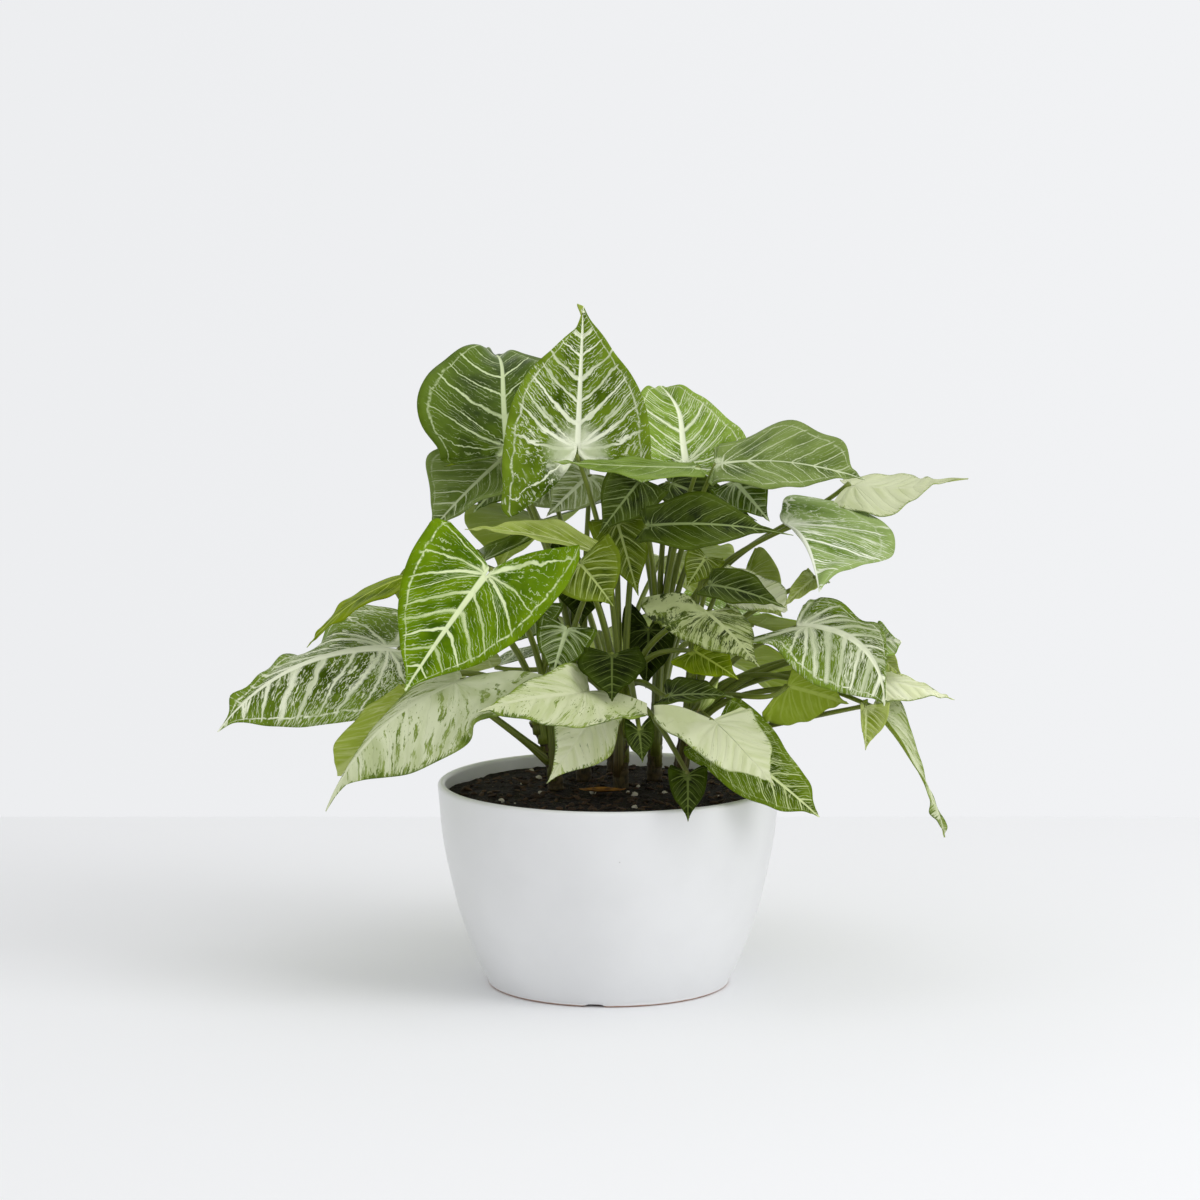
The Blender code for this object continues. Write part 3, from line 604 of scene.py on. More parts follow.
# Near black green: painted shade for blades deep inside the plant.
PAINTED_SHADE_DARK = LeafFinish(
    "painted_shade_dark", Slot.DARK, (8, 16, 0), (28, 40, 0), (52, 68, 4), (96, 110, 54), vein=0.35, rib=0.7,
    lines=0.3, dash=0.2, marble=0.1, under=UNDER_OLIVE)
OLIVE = LeafFinish(
    "olive", Slot.DARK, (52, 68, 0), (84, 102, 10), (112, 130, 30), (170, 184, 112), vein=0.5,
    lines=0.4, dash=0.25, marble=0.1)
MARBLED = LeafFinish(
    "marbled", Slot.CREAM, (58, 78, 4), (94, 118, 24), (120, 146, 46), (238, 243, 214), vein=2.3,
    rib=3.6, lines=1.0, dash=0.85, marble=0.34, wash=9.0, edge=0.3, rim=1.0)
ZEBRA = LeafFinish(
    "zebra", Slot.CREAM, (24, 36, 0), (60, 76, 16), (108, 124, 50), (168, 178, 126), vein=1.0,
    rib=1.7, dash=0.4, marble=0.62, wash=8.0, fleck=1.5, edge=0.3, rim=0.8, under=UNDER_PALE)
CREAM_LEAF = LeafFinish(
    "cream_leaf", Slot.CREAM, (66, 90, 6), (120, 142, 40), (162, 178, 104), (206, 212, 172),
    rib=1.2, marble=0.88, wash=18.0, fleck=0.95, edge=1.0, gloss=0.46, under=UNDER_PALE)
CREAM_PLAIN = LeafFinish(
    "cream_plain", Slot.CREAM, (80, 104, 14), (140, 160, 60), (180, 192, 128), (210, 216, 178),
    rib=1.0, marble=1.1, wash=22.0, fleck=0.25, edge=0.8, gloss=0.46, under=UNDER_PALE)
# A lighter copy of the cream finish: painted light for cream blades that lie in the shade of others.
CREAM_PAINTED_LIGHT = LeafFinish(
    "cream_painted_light", Slot.CREAM, (96, 122, 10), (172, 190, 84), (214, 224, 158), (244, 248, 214),
    rib=1.2, marble=1.0, wash=20.0, fleck=0.4, edge=1.0, gloss=0.46, under=UNDER_PALE)
CREAM_CLOUDED = LeafFinish(
    "cream_clouded", Slot.CREAM, (84, 106, 26), (126, 146, 62), (150, 166, 94), (210, 217, 180),
    vein=1.3, rib=1.6, dash=0.4, marble=0.78, wash=14.0, fleck=0.8, edge=1.0, rim=0.3, gloss=0.46,
    under=UNDER_PALE)
SPECKLED = LeafFinish(
    "speckled", Slot.DARK, (48, 68, 0), (84, 108, 12), (112, 136, 28), (214, 225, 166), vein=0.7,
    rib=1.4, lines=0.6, dash=0.6, marble=0.28, wash=5.0, rim=0.4)
LIME = LeafFinish(
    "lime", Slot.BRIGHT, (78, 98, 0), (110, 132, 4), (136, 156, 18), (176, 192, 84), vein=0.4,
    rib=0.8, lines=0.4, dash=0.2, rim=0.1)
LIME_PALE = LeafFinish(
    "lime_pale", Slot.BRIGHT, (118, 136, 34), (148, 166, 66), (176, 190, 104), (200, 210, 146),
    vein=0.5, rib=0.8, marble=0.3, wash=4.0, rim=0.1, under=UNDER_PALE)


# ---------------------------------------------------------------- blades

@dataclass(frozen=True)
class Nudge:
    """A soft local push of a blade, as a thumb would give it."""

    side: int                     # -1 left half, 1 right half, 0 both
    along: float                  # place along the blade, joint 0, tip 1
    out: float                    # place from midrib 0 to margin 1
    move: Triple                  # mm in the plant's frame
    reach: float = 0.25           # how far the push spreads, blade lengths


LOBE_DEPTH = 0.42
NECK = 0.93                       # height on the outline where the drip tip begins
ENDS = (0.003, 0.997)             # first and last rule, just off the outline's two points
VEIN_SPACING = 0.15               # between two side veins on the midrib, blade lengths
VEIN_FAN = 0.36                   # between two veins below the joint, radians
FIRST_VEIN = 0.05                 # height of the first side vein over the joint, blade lengths
VEIN_SLOPES = (0.68, 0.78)        # rise of the side veins at the midrib, left and right
VEIN_BEND = 0.9                   # how fast they turn up towards the margin
QUILT = 0.22                      # how far the blade swells between the veins, mm
GUTTER = 0.35                     # depth of the groove over the midrib, mm
BLADE_THICKNESS = 0.5             # mm
# margin of the right half of a flat blade in blade lengths, (across, along), joint (0, 0), tip (0, 1)
MARGIN = ((0.0, 1.0), (0.025, 0.93), (0.075, 0.84), (0.19, 0.71), (0.34, 0.56), (0.45, 0.36),
          (0.50, 0.12), (0.51, -0.12), (0.47, -0.32), (0.40, -LOBE_DEPTH))
# the midrib and then the edge of the notch between the lobes
INNER = ((0.0, 1.0), (0.0, 0.88), (0.0, 0.76), (0.0, 0.60), (0.0, 0.43), (0.0, 0.24),
         (0.0, 0.07), (0.035, -0.06), (0.17, -0.24), (0.40, -LOBE_DEPTH))


@dataclass
class Blade:
    """One leaf blade: where it hangs, its outline and the bends that give it its form."""

    node: str
    stem: str
    joint: Triple
    tip: Triple
    face: Triple
    finish: LeafFinish
    under: Optional[UnderFinish] = None   # where it isn't the finish's own
    width: float = 1.0            # share of the flat outline's width
    lobes: Pair = (0.1, 0.1)      # length of each lobe, share of the flat outline's
    pinch: float = 0.0            # how far the outline narrows towards the joint
    halves: Pair = (1.0, 1.0)     # width of the left and the right half, shares
    fold: Pair = (10.0, 10.0)     # how far each half rises from the midrib, degrees
    fold_end: Optional[Pair] = None       # the same towards the tip, where it differs
    curl: Pair = (10.0, 10.0)     # turn of each half from midrib to margin, degrees
    arch: float = 20.0            # turn of the midrib from joint to tip, degrees
    sweep: float = 0.0            # sideways bow of the midrib, share of the length
    bow: Triple = (0.0, 0.0, 0.0)         # push on its stalk, mm
    tail: float = 0.07            # share of the length that is the narrow drip tip
    ruffle: float = 0.8           # height of the waves along the margin, mm
    waves: float = 5.0            # number of waves along each margin
    nudges: Tuple[Nudge, ...] = ()
    seed: int = 0
    rows: int = 72
    columns: int = 16
    has_solid: ClassVar[bool] = True

    @property
    def underside(self) -> UnderFinish:
        """Its own underside, or the usual one of its finish."""
        return self.under or self.finish.under

    @property
    def length(self) -> float:
        """Distance from joint to tip, mm."""
        return float(np.linalg.norm(np.subtract(self.tip, self.joint)))

    def axes(self) -> np.ndarray:
        """Rows x, y, z of the blade: y from joint to tip, z out of the upper side."""
        y = np.subtract(self.tip, self.joint) / self.length
        z = np.array(self.face, float)
        z = z - z.dot(y) * y
        z = z / np.linalg.norm(z)
        return np.stack((np.cross(y, z), y, z))

    def half(self, pick: int) -> Dict[str, np.ndarray]:
        """Flat coordinates of one half: straight rules from the midrib to the margin.

        Args:
            pick: 0 for the left half and 1 for the right.

        Returns:
            Arrays over rows and columns: across and along in blade lengths, the same on the
            even pattern leaf, and the row and column shares.
        """
        share = np.linspace(0.0, 1.0, self.rows + 1)
        share[0], share[-1] = ENDS
        out = np.linspace(0.0, 1.0, self.columns + 1) ** 1.25
        plain, shaped = [], []
        for points in (INNER, MARGIN):
            line = curve_through(points, share)
            line[:, 0] = np.maximum(line[:, 0], 0.0)
            plain.append(line)
            along = np.where(line[:, 1] < NECK, line[:, 1] * (1.0 - self.tail) / NECK,
                             1.0 - (1.0 - line[:, 1]) * self.tail / (1.0 - NECK))
            across = line[:, 0] * self.width * self.halves[pick]
            across = across * (1.0 - self.pinch * (1.0 - ease(line[:, 1] / 0.45)))
            along = np.where(line[:, 1] < 0.0, line[:, 1] * self.lobes[pick], along)
            shaped.append(np.stack((across, along), axis=-1))
        rule = out[None, :, None]
        even = plain[0][:, None] * (1 - rule) + plain[1][:, None] * rule
        real = shaped[0][:, None] * (1 - rule) + shaped[1][:, None] * rule
        return {"across": real[..., 0], "along": real[..., 1], "plain_across": even[..., 0],
                "plain_along": even[..., 1], "row": share[:, None] + 0 * rule[..., 0],
                "out": out[None] + 0 * share[:, None]}

    def lanes(self, flat: Dict[str, np.ndarray], pick: int) -> Tuple[np.ndarray, ...]:
        """Which side vein a point lies near.

        Above the joint a vein leaves the midrib and bends towards the tip, so its number is the
        height less a parabola of the distance from the midrib. Below, veins fan out from the
        joint, so the number is the angle round it.

        Args:
            flat: arrays from half().
            pick: 0 for the left half and 1 for the right.

        Returns:
            The vein number, the distance between veins in mm and the distance along the vein.
        """
        a = flat["plain_across"]
        slope = VEIN_SLOPES[pick]
        height = flat["plain_along"] - slope * a - VEIN_BEND * a * a - FIRST_VEIN
        upper = height >= 0.0
        turn = np.arctan2(np.maximum(-height, 0.0), np.maximum(a, 1e-6))
        radius = np.hypot(a, height)
        number = np.where(upper, height / VEIN_SPACING, -turn / VEIN_FAN)
        gap = np.where(upper, VEIN_SPACING / np.hypot(1.0, slope + 2 * VEIN_BEND * a),
                       radius * VEIN_FAN)
        reach = np.where(upper, a, radius)
        return number, gap * self.length, reach * self.length

    def bend(self, flat: Dict[str, np.ndarray], pick: int, lane: np.ndarray) -> np.ndarray:
        """Bend a flat half.

        Across, each half rises by its fold and then follows an arc of its curl. Along, the
        midrib is an arc of the whole arch with its chord on the y axis, and the lobes carry on
        straight behind the joint.

        Args:
            flat: arrays from half().
            pick: 0 for the left half and 1 for the right.
            lane: vein numbers, which raise the blade between the veins.

        Returns:
            Points in blade lengths, in the blade's axes.
        """
        side = 2 * pick - 1
        along, across = flat["along"], flat["across"]
        half = 0.5 * self.width * self.halves[pick]
        last = (self.fold_end or self.fold)[pick]
        change = ease((along - 0.05) / 0.4)
        fold = np.radians(self.fold[pick] + (last - self.fold[pick]) * change)
        curl = np.radians(self.curl[pick]) or 0.001
        share = across / half
        out = half / curl * (np.sin(fold + curl * share) - np.sin(fold))
        up = half / curl * (np.cos(fold) - np.cos(fold + curl * share))
        wave = np.sin(2 * np.pi * (self.waves * flat["row"] + 0.37 * self.seed + 0.3 * pick))
        second = np.sin(2 * np.pi * (1.7 * self.waves * flat["row"] + 0.61 * self.seed))
        edge = flat["out"] ** 2.5 * ease(flat["row"] / 0.12)
        up = up + self.ruffle / self.length * edge * (wave + 0.4 * second)
        quilt = QUILT * np.cos(2 * np.pi * lane) * ease(flat["out"] / 0.3)
        up = up - quilt * ease((1.0 - flat["out"]) / 0.3) / self.length
        up = up - GUTTER / self.length * np.exp(-(across * self.length / 1.5) ** 2)
        arch = np.radians(self.arch) or 0.001
        back = np.maximum(-along, 0.0)
        ahead = np.maximum(along, 0.0)
        slope = arch * (0.5 - ahead)
        forward = (np.sin(arch / 2) - np.sin(slope)) / arch - back * np.cos(arch / 2)
        rise = (np.cos(slope) - np.cos(arch / 2)) / arch - back * np.sin(arch / 2)
        chord = 2.0 * np.sin(arch / 2) / arch
        y = (forward - up * np.sin(slope)) / chord
        z = (rise + up * np.cos(slope)) / chord
        held = np.clip(along, -0.3, 1.0)
        x = side * out / chord + self.sweep * 4.0 * held * (1.0 - held)
        return np.stack((x, y, z), axis=-1)

    def surface(self) -> Tuple[np.ndarray, np.ndarray, Dict[str, np.ndarray]]:
        """The blade as one sheet.

        Returns:
            Points in mm, quads that look out of the upper side, and the point attributes.
        """
        axes = self.axes()
        points, faces, marks = [], [], {"vein": [], "reach": [], "flat": []}
        count = (self.rows + 1) * (self.columns + 1)
        for pick in (0, 1):
            flat = self.half(pick)
            lane, gap, reach = self.lanes(flat, pick)
            local = self.bend(flat, pick, lane) * self.length
            placed = local.reshape(-1, 3) @ axes + np.array(self.joint)
            for nudge in self.nudges:
                if nudge.side in (0, 2 * pick - 1):
                    away = ((flat["along"] - nudge.along) / nudge.reach) ** 2
                    away = away + ((flat["out"] - nudge.out) / (2.2 * nudge.reach)) ** 2
                    placed = placed + np.exp(-away).reshape(-1, 1) * np.array(nudge.move)
            points.append(placed)
            quads = grid_faces(self.rows + 1, self.columns + 1) + pick * count
            faces.append(quads[:, ::-1] if pick else quads)
            side = (2 * pick - 1) * flat["across"] * self.length
            marks["vein"].append(np.stack((lane, gap, flat["out"]), -1).reshape(-1, 3))
            marks["reach"].append(
                np.stack((reach, flat["across"] * self.length, flat["plain_along"]),
                         -1).reshape(-1, 3))
            marks["flat"].append(
                np.stack((side + 150.0 * self.seed, flat["along"] * self.length,
                          side * 0 + self.seed), -1).reshape(-1, 3))
        welded = np.arange(2 * count)
        middle = self.half(0)["plain_across"][:, 0] < 1e-9
        rows = np.nonzero(middle)[0] * (self.columns + 1)
        welded[count + rows] = rows
        used, renumbered = np.unique(welded, return_inverse=True)
        quads = renumbered.reshape(-1)[np.vstack(faces)]
        return (np.vstack(points)[used], quads,
                {key: np.vstack(value)[used] for key, value in marks.items()})

    def build(self, materials: Dict[str, bpy.types.Material]) -> bpy.types.Object:
        """Make the blade, give it its thickness and let it stand for its solid.

        Args:
            materials: all finishes by name.

        Returns:
            The piece.
        """
        points, faces, marks = self.surface()
        thing = make_mesh(self.node + "_blade", points, faces, marks)
        solid = thing.modifiers.new("thickness", "SOLIDIFY")
        solid.thickness = BLADE_THICKNESS * MM
        solid.offset = 0.0
        solid.material_offset = 1
        solid.material_offset_rim = 0
        skins = [materials[self.finish.name], materials[self.underside.name]]
        stands_for = (self.node,) if self.has_solid else ()
        return finish_piece(thing, skins, self.finish.slot, *stands_for)


@dataclass
class YoungBlade(Blade):
    """A blade deep in the plant that has no solid: those are at their limit of sixty."""

    has_solid: ClassVar[bool] = False


BLADES = (
    Blade("leaf_top", "stem_middle", (-20, -10, 344), (-16, 0, 438), (0, -1, 0.15), VEINED_WASHED,
        lobes=(1.0, 0.35), fold=(10, 8), curl=(5, 10), arch=5, bow=(6, -20, 0),
        nudges=(Nudge(0, 1.0, 0.5, (-4, 0, 1.5), 0.05), Nudge(-1, 0.88, 1, (3, 0, 0), 0.07),
        Nudge(1, 0.8, 1, (2, 0, 2), 0.12), Nudge(-1, -0.38, 1, (-5, 0, -2), 0.1)), seed=1),
    Blade("leaf_top_left", "stem_back_left", (-65, 25, 340), (-76, 115, 395), (0, -0.65, 0.75),
        VEINED_DARK, width=1.05, pinch=0.15, fold=(0, 10), arch=90,
        nudges=(Nudge(-1, 0.75, 1, (0, 0, 9), 0.2), Nudge(-1, 0.0, 1, (10, 0, 2), 0.13),
        Nudge(0, 0.65, 0, (3, 0, 0), 0.3), Nudge(1, 0.6, 1, (-4, 0, -5), 0.12)), seed=2),
    Blade("leaf_below_top_left", "stem_back_left", (-68, 50, 335), (-115, 25, 290),
        (-0.35, -1, 0.3), VEINED_SHEEN, width=0.85, pinch=0.5, fold=(5, 30), arch=25,
        nudges=(Nudge(1, 0.45, 1, (-12, 0, 2), 0.18), Nudge(1, 0.75, 1, (-4, 0, 0), 0.15),
        Nudge(-1, 0.5, 1, (-5, 0, 7), 0.2), Nudge(1, 0.1, 1, (0, 0, 6), 0.15)), seed=3),
    Blade("leaf_small_behind", "stem_back_left", (-61, 70, 325), (-88, 60, 298), (0, -1, 0.6),
        VEINED_DARK, under=UNDER_OLIVE, width=0.7, lobes=(0.3, 0.3), seed=4),
    Blade("leaf_top_right", "stem_back_right", (50, 15, 332), (34, 70, 380), (0.15, -0.75, 0.65),
        VEINED_LIGHT, width=1.1, lobes=(0.3, 0.3), arch=45,
        nudges=(Nudge(1, 0.45, 1, (-2.5, 0, -3), 0.2), Nudge(-1, 0.75, 1, (-4, 0, 6), 0.15),
        Nudge(0, 0.6, 0, (4, 0, 0), 0.3), Nudge(1, 0.78, 1, (2, 0, 5), 0.13)), seed=5),
    Blade("leaf_edge_on", "stem_back_right", (56, -45, 340), (-36, -70, 347), (0, -0.12, 1), SAGE,
        width=0.6, pinch=0.5, fold=(-10, -5), arch=-5, seed=6),
    Blade("leaf_dome_right", "stem_back_right", (68, -20, 339), (162, -35, 331), (0, -0.55, 0.8),
        VEINED_SHEEN, width=0.75, pinch=0.5, fold=(0, -15), curl=(0, 0), arch=35,
        nudges=(Nudge(-1, 0.45, 1, (5, 0, 6.5), 0.2), Nudge(-1, 0.72, 1, (10, 0, 6), 0.13),
        Nudge(1, 0.35, 1, (0, 0, 9), 0.3)), seed=7),
    Blade("leaf_under_dome", "stem_back_right", (80, 0, 326), (102, -24, 303), (0, -0.9, 0.4),
        VEINED_DARK, under=UNDER_OLIVE, width=0.9, arch=15, seed=49),
    Blade("leaf_far_right", "stem_back_right", (154, 5, 324), (229, -15, 330), (0, -0.1, 1),
        CREAM_PLAIN, width=0.8, lobes=(0.3, 0.3), pinch=0.3, fold=(-5, -35), arch=5,
        bow=(0, 6, 10), tail=0.25, nudges=(Nudge(0, 0.45, 0, (0, 0, -5), 0.4),
        Nudge(1, 0.4, 1, (0, 0, -4), 0.3)), seed=8),
    Blade("leaf_right_striped", "stem_back_right", (115, -29, 300.3), (130, -104, 269.3),
        (0.2, -0.45, 0.9), RADIATING, width=1.45, lobes=(1.15, 0.1), halves=(1.0, 0.72),
        fold=(5, -140), curl=(5, 0), arch=45, nudges=(Nudge(-1, 0.55, 1, (9, 0, -6), 0.22),
        Nudge(-1, 0.8, 1, (6, 0, 0), 0.12), Nudge(-1, -0.35, 0.6, (-34, -6, 15), 0.34),
        Nudge(-1, 0.8, 0.8, (0, 0, 5), 0.15), Nudge(1, 0.3, 1, (-10, 0, -3), 0.3)), seed=9),
    Blade("leaf_dark_centre", "stem_back_right", (24, -40, 302), (116, -62, 299), (0, -0.85, 0.5),
        DEEP_GREEN_PAINTED_SHADE, width=0.5, lobes=(0.15, 0.15), pinch=0.5, arch=45, tail=0.16, seed=10),
    Blade("leaf_grey_behind", "stem_back_left", (-39, 60, 319), (-6, 40, 309), (0, -0.9, 0.4),
        VEINED_GREY, width=1.1, lobes=(0.6, 0.6), arch=10, seed=11),
    Blade("leaf_lime_knob", "stem_middle", (-19, -56, 281.5), (3, -62, 254), (0.2, -0.9, 0.3),
        OLIVE, width=1.4, lobes=(0.1, 0.2), arch=30, seed=12),
    Blade("leaf_dark_high", "stem_middle", (21, 3, 327), (-6, -14, 294), (0, -0.9, 0.4), DEEP_GREEN_PAINTED_SHADE,
        width=0.9, arch=15, seed=50),
    Blade("leaf_dark_middle", "stem_middle", (5, 6, 300.5), (19, -13, 253.5), (0, -0.9, 0.3),
        OLIVE, under=UNDER_OLIVE, width=0.72, arch=15, seed=51),
    Blade("leaf_big_left", "stem_left", (-74, -65, 278), (-127, -95, 206), (-0.1, -1, 0.45),
        VEINED_BRIGHT, lobes=(1.1, 0.25), fold=(5, 5),
        nudges=(Nudge(1, 0.75, 1, (-4, 0, 0), 0.15), Nudge(-1, 0.75, 1, (1.5, 0, -2.5), 0.2)),
        seed=13),
    Blade("leaf_over_big", "stem_left", (-2, -38, 283), (-91, -38, 300), (0, -0.25, 1), LIME_PALE,
        width=0.5, pinch=0.5, arch=25, seed=14),
    Blade("leaf_far_left", "stem_left", (-134, -25, 222), (-248, -45, 171), (0, -0.9, 0.45),
        MARBLED, width=0.85, lobes=(0.5, 0.5), fold=(5, -40), fold_end=(0, -64), arch=15,
        sweep=0.13, bow=(-22, -6, -36), nudges=(Nudge(1, 0.34, 1, (2, 0, -14), 0.1),
        Nudge(1, 0.56, 1, (0, 0, 3), 0.06), Nudge(1, 0.72, 1, (0, 0, 5), 0.07),
        Nudge(1, 0.84, 1, (-6, 0, 5), 0.05), Nudge(1, 0.0, 1, (-4, 0, 0), 0.12),
        Nudge(-1, 0.72, 1, (0, 0, -7), 0.15), Nudge(-1, 0.5, 1, (0, 0, -2), 0.15)), seed=15),
    Blade("leaf_arched_left", "stem_left", (-120, -20, 270), (-192, -30, 223),
        (-0.5, -0.15, 0.85), LIME, width=0.5, pinch=0.4, fold=(-25, 0), arch=40,
        nudges=(Nudge(1, 0.25, 1, (0, 0, -3.5)), Nudge(-1, 0.45, 1, (0, 0, 5))), seed=16),
    Blade("leaf_low_left", "stem_left", (-92, -75, 209), (-177, -95, 129), (0.35, -0.9, 0.25),
        CREAM_CLOUDED, width=0.75, lobes=(1.0, 0.1), halves=(1.0, 0.35), fold=(20, -50),
        fold_end=(20, -80), curl=(10, 10), arch=10, sweep=0.12, tail=0.2,
        nudges=(Nudge(-1, 0.0, 1, (-20, 0, 5), 0.14), Nudge(-1, 0.6, 1, (1, 0, -8), 0.25),
        Nudge(-1, -0.3, 1, (-14, 0, 20), 0.14), Nudge(-1, -0.25, 0, (0, 0, 8), 0.2)), seed=17),
    Blade("leaf_lime_behind", "stem_left", (-122, -62, 196), (-168, -74, 148), (0.5, 0.8, -0.3),
        LIME_PALE, width=0.5, pinch=0.3, halves=(1.5, 0.4), arch=-30,
        nudges=(Nudge(-1, 0.75, 1, (-11, 0, 0), 0.2),), seed=46),
    Blade("leaf_pale_centre", "stem_middle", (-12, -80, 201), (-81, -120, 197), (0, -0.6, 0.8),
        CREAM_LEAF, width=0.8, lobes=(0.85, 0.1), halves=(1.0, 0.5), arch=30,
        nudges=(Nudge(-1, 0.4, 1, (0, 0, -8), 0.32), Nudge(-1, 0.78, 1, (0, 0, -3), 0.1),
        Nudge(-1, -0.3, 0, (0, 0, 8), 0.3), Nudge(1, 0.1, 1, (0, 0, 6), 0.2)), seed=18),
    Blade("leaf_pale_below", "stem_middle", (-6, -55, 189), (-39, -78, 144), (0.2, -1, 0.3),
        CREAM_PAINTED_LIGHT, width=0.9, pinch=0.4, arch=10, nudges=(Nudge(1, 0.6, 1, (4, 0, 0)),),
        seed=19),
    Blade("leaf_pale_right", "stem_right", (64, -95, 187), (102, -140, 154), (-0.1, -0.8, 0.65),
        CREAM_PLAIN, width=0.95, lobes=(0.2, 1.0), fold=(-28, 10),
        nudges=(Nudge(-1, 0.25, 1, (-4, 0, -4), 0.3), Nudge(1, -0.35, 0, (0, 0, 6), 0.2),
        Nudge(1, 0.15, 1, (8, 0, 1), 0.4)), seed=20),
    Blade("leaf_low_right", "stem_right", (67, -60, 172), (132, -85, 124), (0.1, -0.8, 0.6),
        SPECKLED, width=0.65, lobes=(0.2, 0.2), nudges=(Nudge(-1, 0.75, 1, (5, 0, 0), 0.15),
        Nudge(1, 0.5, 1, (0, 0, -5)), Nudge(1, 0.75, 1, (0, 0, -4), 0.12),
        Nudge(-1, 0.5, 1, (-2.5, 0, -1), 0.15)), seed=21),
    Blade("leaf_hanging_small", "stem_middle", (49, -105, 155), (49, -120, 128), (0, -0.9, 0.3),
        PAINTED_SHADE_DARK, width=0.8, lobes=(0.4, 0.4), seed=22),
    Blade("leaf_flecked_centre", "stem_middle", (61, -65, 251), (93, -115, 224),
        (-0.1, -0.7, 0.75), ZEBRA, lobes=(0.2, 1.4), halves=(0.65, 1.0), fold=(-30, 10),
        arch=30, nudges=(Nudge(1, -0.35, 0, (4, 0, 8), 0.25),), seed=23),
    Blade("leaf_dark_low", "stem_middle", (2, -65, 224), (2, -95, 199), (0, -0.7, 0.7), PAINTED_SHADE_DARK,
        width=1.3, lobes=(0.2, 0.2), pinch=0.3, seed=24),
    Blade("leaf_small_low", "stem_left", (-26, -45, 238), (-36, -60, 208), (0, -0.9, 0.4),
        VEINED_DARK, width=1.1, lobes=(0.2, 0.2), seed=25),
    Blade("leaf_olive_low", "stem_middle", (53, -62, 226), (81, -82, 211), (0, -0.8, 0.5), LIME,
        under=UNDER_OLIVE, width=0.9, lobes=(0.3, 0.3), seed=26),
    Blade("leaf_dark_point", "stem_middle", (37, -69, 198), (78, -89, 201), (0, -0.5, 0.8), DEEP_GREEN_PAINTED_SHADE,
        width=0.6, lobes=(0.3, 0.3), seed=27),
    Blade("leaf_tiny_centre", "stem_middle", (19, -98, 181), (21, -108, 163), (0, -0.9, 0.4),
        PAINTED_SHADE_DARK, under=UNDER_LIME, width=0.9, lobes=(1.0, 1.0), arch=10, seed=28),
    Blade("leaf_big_right", "stem_right", (119, -35, 237), (173, -75, 194), (0.1, -0.85, 0.6),
        MARBLED, width=0.95, lobes=(0.2, 0.8), halves=(0.66, 1.32), arch=25, sweep=-0.22,
        nudges=(Nudge(1, 0.55, 1, (-2, 0, -9), 0.22), Nudge(1, 0.8, 1, (-2, 0, -6), 0.15),
        Nudge(-1, 0.3, 1, (-2, 0, -8), 0.15), Nudge(1, -0.15, 1, (30, 0, 10), 0.3)), seed=29),
    Blade("leaf_curled_right", "stem_right", (156, -28, 228), (184, -45, 230), (0, -0.9, 0.45),
        VEINED_LIGHT, width=1.1, arch=20, nudges=(Nudge(-1, 0.25, 1, (3, 0, -12), 0.2),
        Nudge(1, 0.75, 1, (5, 0, -5), 0.2), Nudge(-1, 0.0, 1, (0, 0, -7), 0.12)), seed=30),
    Blade("leaf_pale_point", "stem_right", (164, -25, 203), (219, -45, 192), (0, -0.5, 0.9),
        CREAM_PAINTED_LIGHT, width=0.6, halves=(0.4, 1.2), nudges=(Nudge(1, 0.4, 1, (0, 0, -5)),),
        seed=31),
    Blade("leaf_lime_edge", "stem_right", (171, -20, 217), (186, -38, 206), (0, -0.9, 0.4),
        LIME_PALE, under=UNDER_LIME, width=0.65, arch=10, seed=47),
    Blade("leaf_lime_strip", "stem_right", (157, -5, 231), (177, -20, 230), (0, -0.6, 0.8), LIME,
        width=0.4, arch=10, seed=48),
    Blade("leaf_drooping", "stem_right", (167, -45, 187.4), (213, -60, 106), (0.6, -0.6, 0.5),
        CREAM_CLOUDED, under=UNDER_LIME, width=0.35, curl=(40, 60), arch=45, bow=(0, 30, 10),
        nudges=(Nudge(-1, 0.5, 1, (-10, 0, 0), 0.3), Nudge(-1, 0.9, 1, (4, 0, 0), 0.06),
        Nudge(1, 0.82, 1, (-5, 0, -1), 0.06)), seed=32),
    Blade("leaf_light_small", "stem_right", (162, -62, 191), (161, -76, 165), (0, -1, 0.3),
        LIME_PALE, halves=(1.0, 0.25), arch=10, bow=(10, 20, -60), seed=33),
    Blade("leaf_olive_back", "stem_right", (112, -58, 203.3), (152, -45, 189.5), (0, 0.8, 0.6),
        OLIVE, width=1.2, lobes=(0.5, 0.1), halves=(1.0, 0.6), fold=(-30, 10), arch=10,
        bow=(0, -8, 8), seed=34),
    Blade("leaf_dark_right", "stem_right", (63, -35, 264), (111, -60, 253), (0, -0.7, 0.7), DEEP_GREEN_PAINTED_SHADE,
        width=0.6, pinch=0.3, arch=30, seed=35),
    Blade("leaf_olive_small", "stem_right", (62, -17, 279), (49, -34, 262), (0, -0.9, 0.4), OLIVE,
        under=UNDER_OLIVE, width=0.9, lobes=(0.3, 0.3), arch=10, seed=52),
    Blade("leaf_pale_right_behind", "stem_right", (72, -11, 263), (112, -27, 245), (0, -0.9, 0.4),
        CREAM_PAINTED_LIGHT, width=0.68, pinch=0.3, arch=10, nudges=(Nudge(-1, 0.75, 1, (8, 0, 6), 0.2),),
        seed=36),
    Blade("leaf_curled_small", "stem_right", (131, -30, 268), (110, -45, 251), (0, -0.6, 0.7),
        LIME_PALE, under=UNDER_LIME, width=0.5, seed=37),
    Blade("leaf_back_1", "stem_back", (-45, 125, 285), (-75, 200, 240), (-0.2, 0.5, 0.9),
        VEINED_DARK, lobes=(1.0, 1.0), arch=35, seed=38),
    Blade("leaf_back_2", "stem_back", (36, 124, 260), (58, 202, 220), (0.2, 0.5, 0.9), CREAM_LEAF,
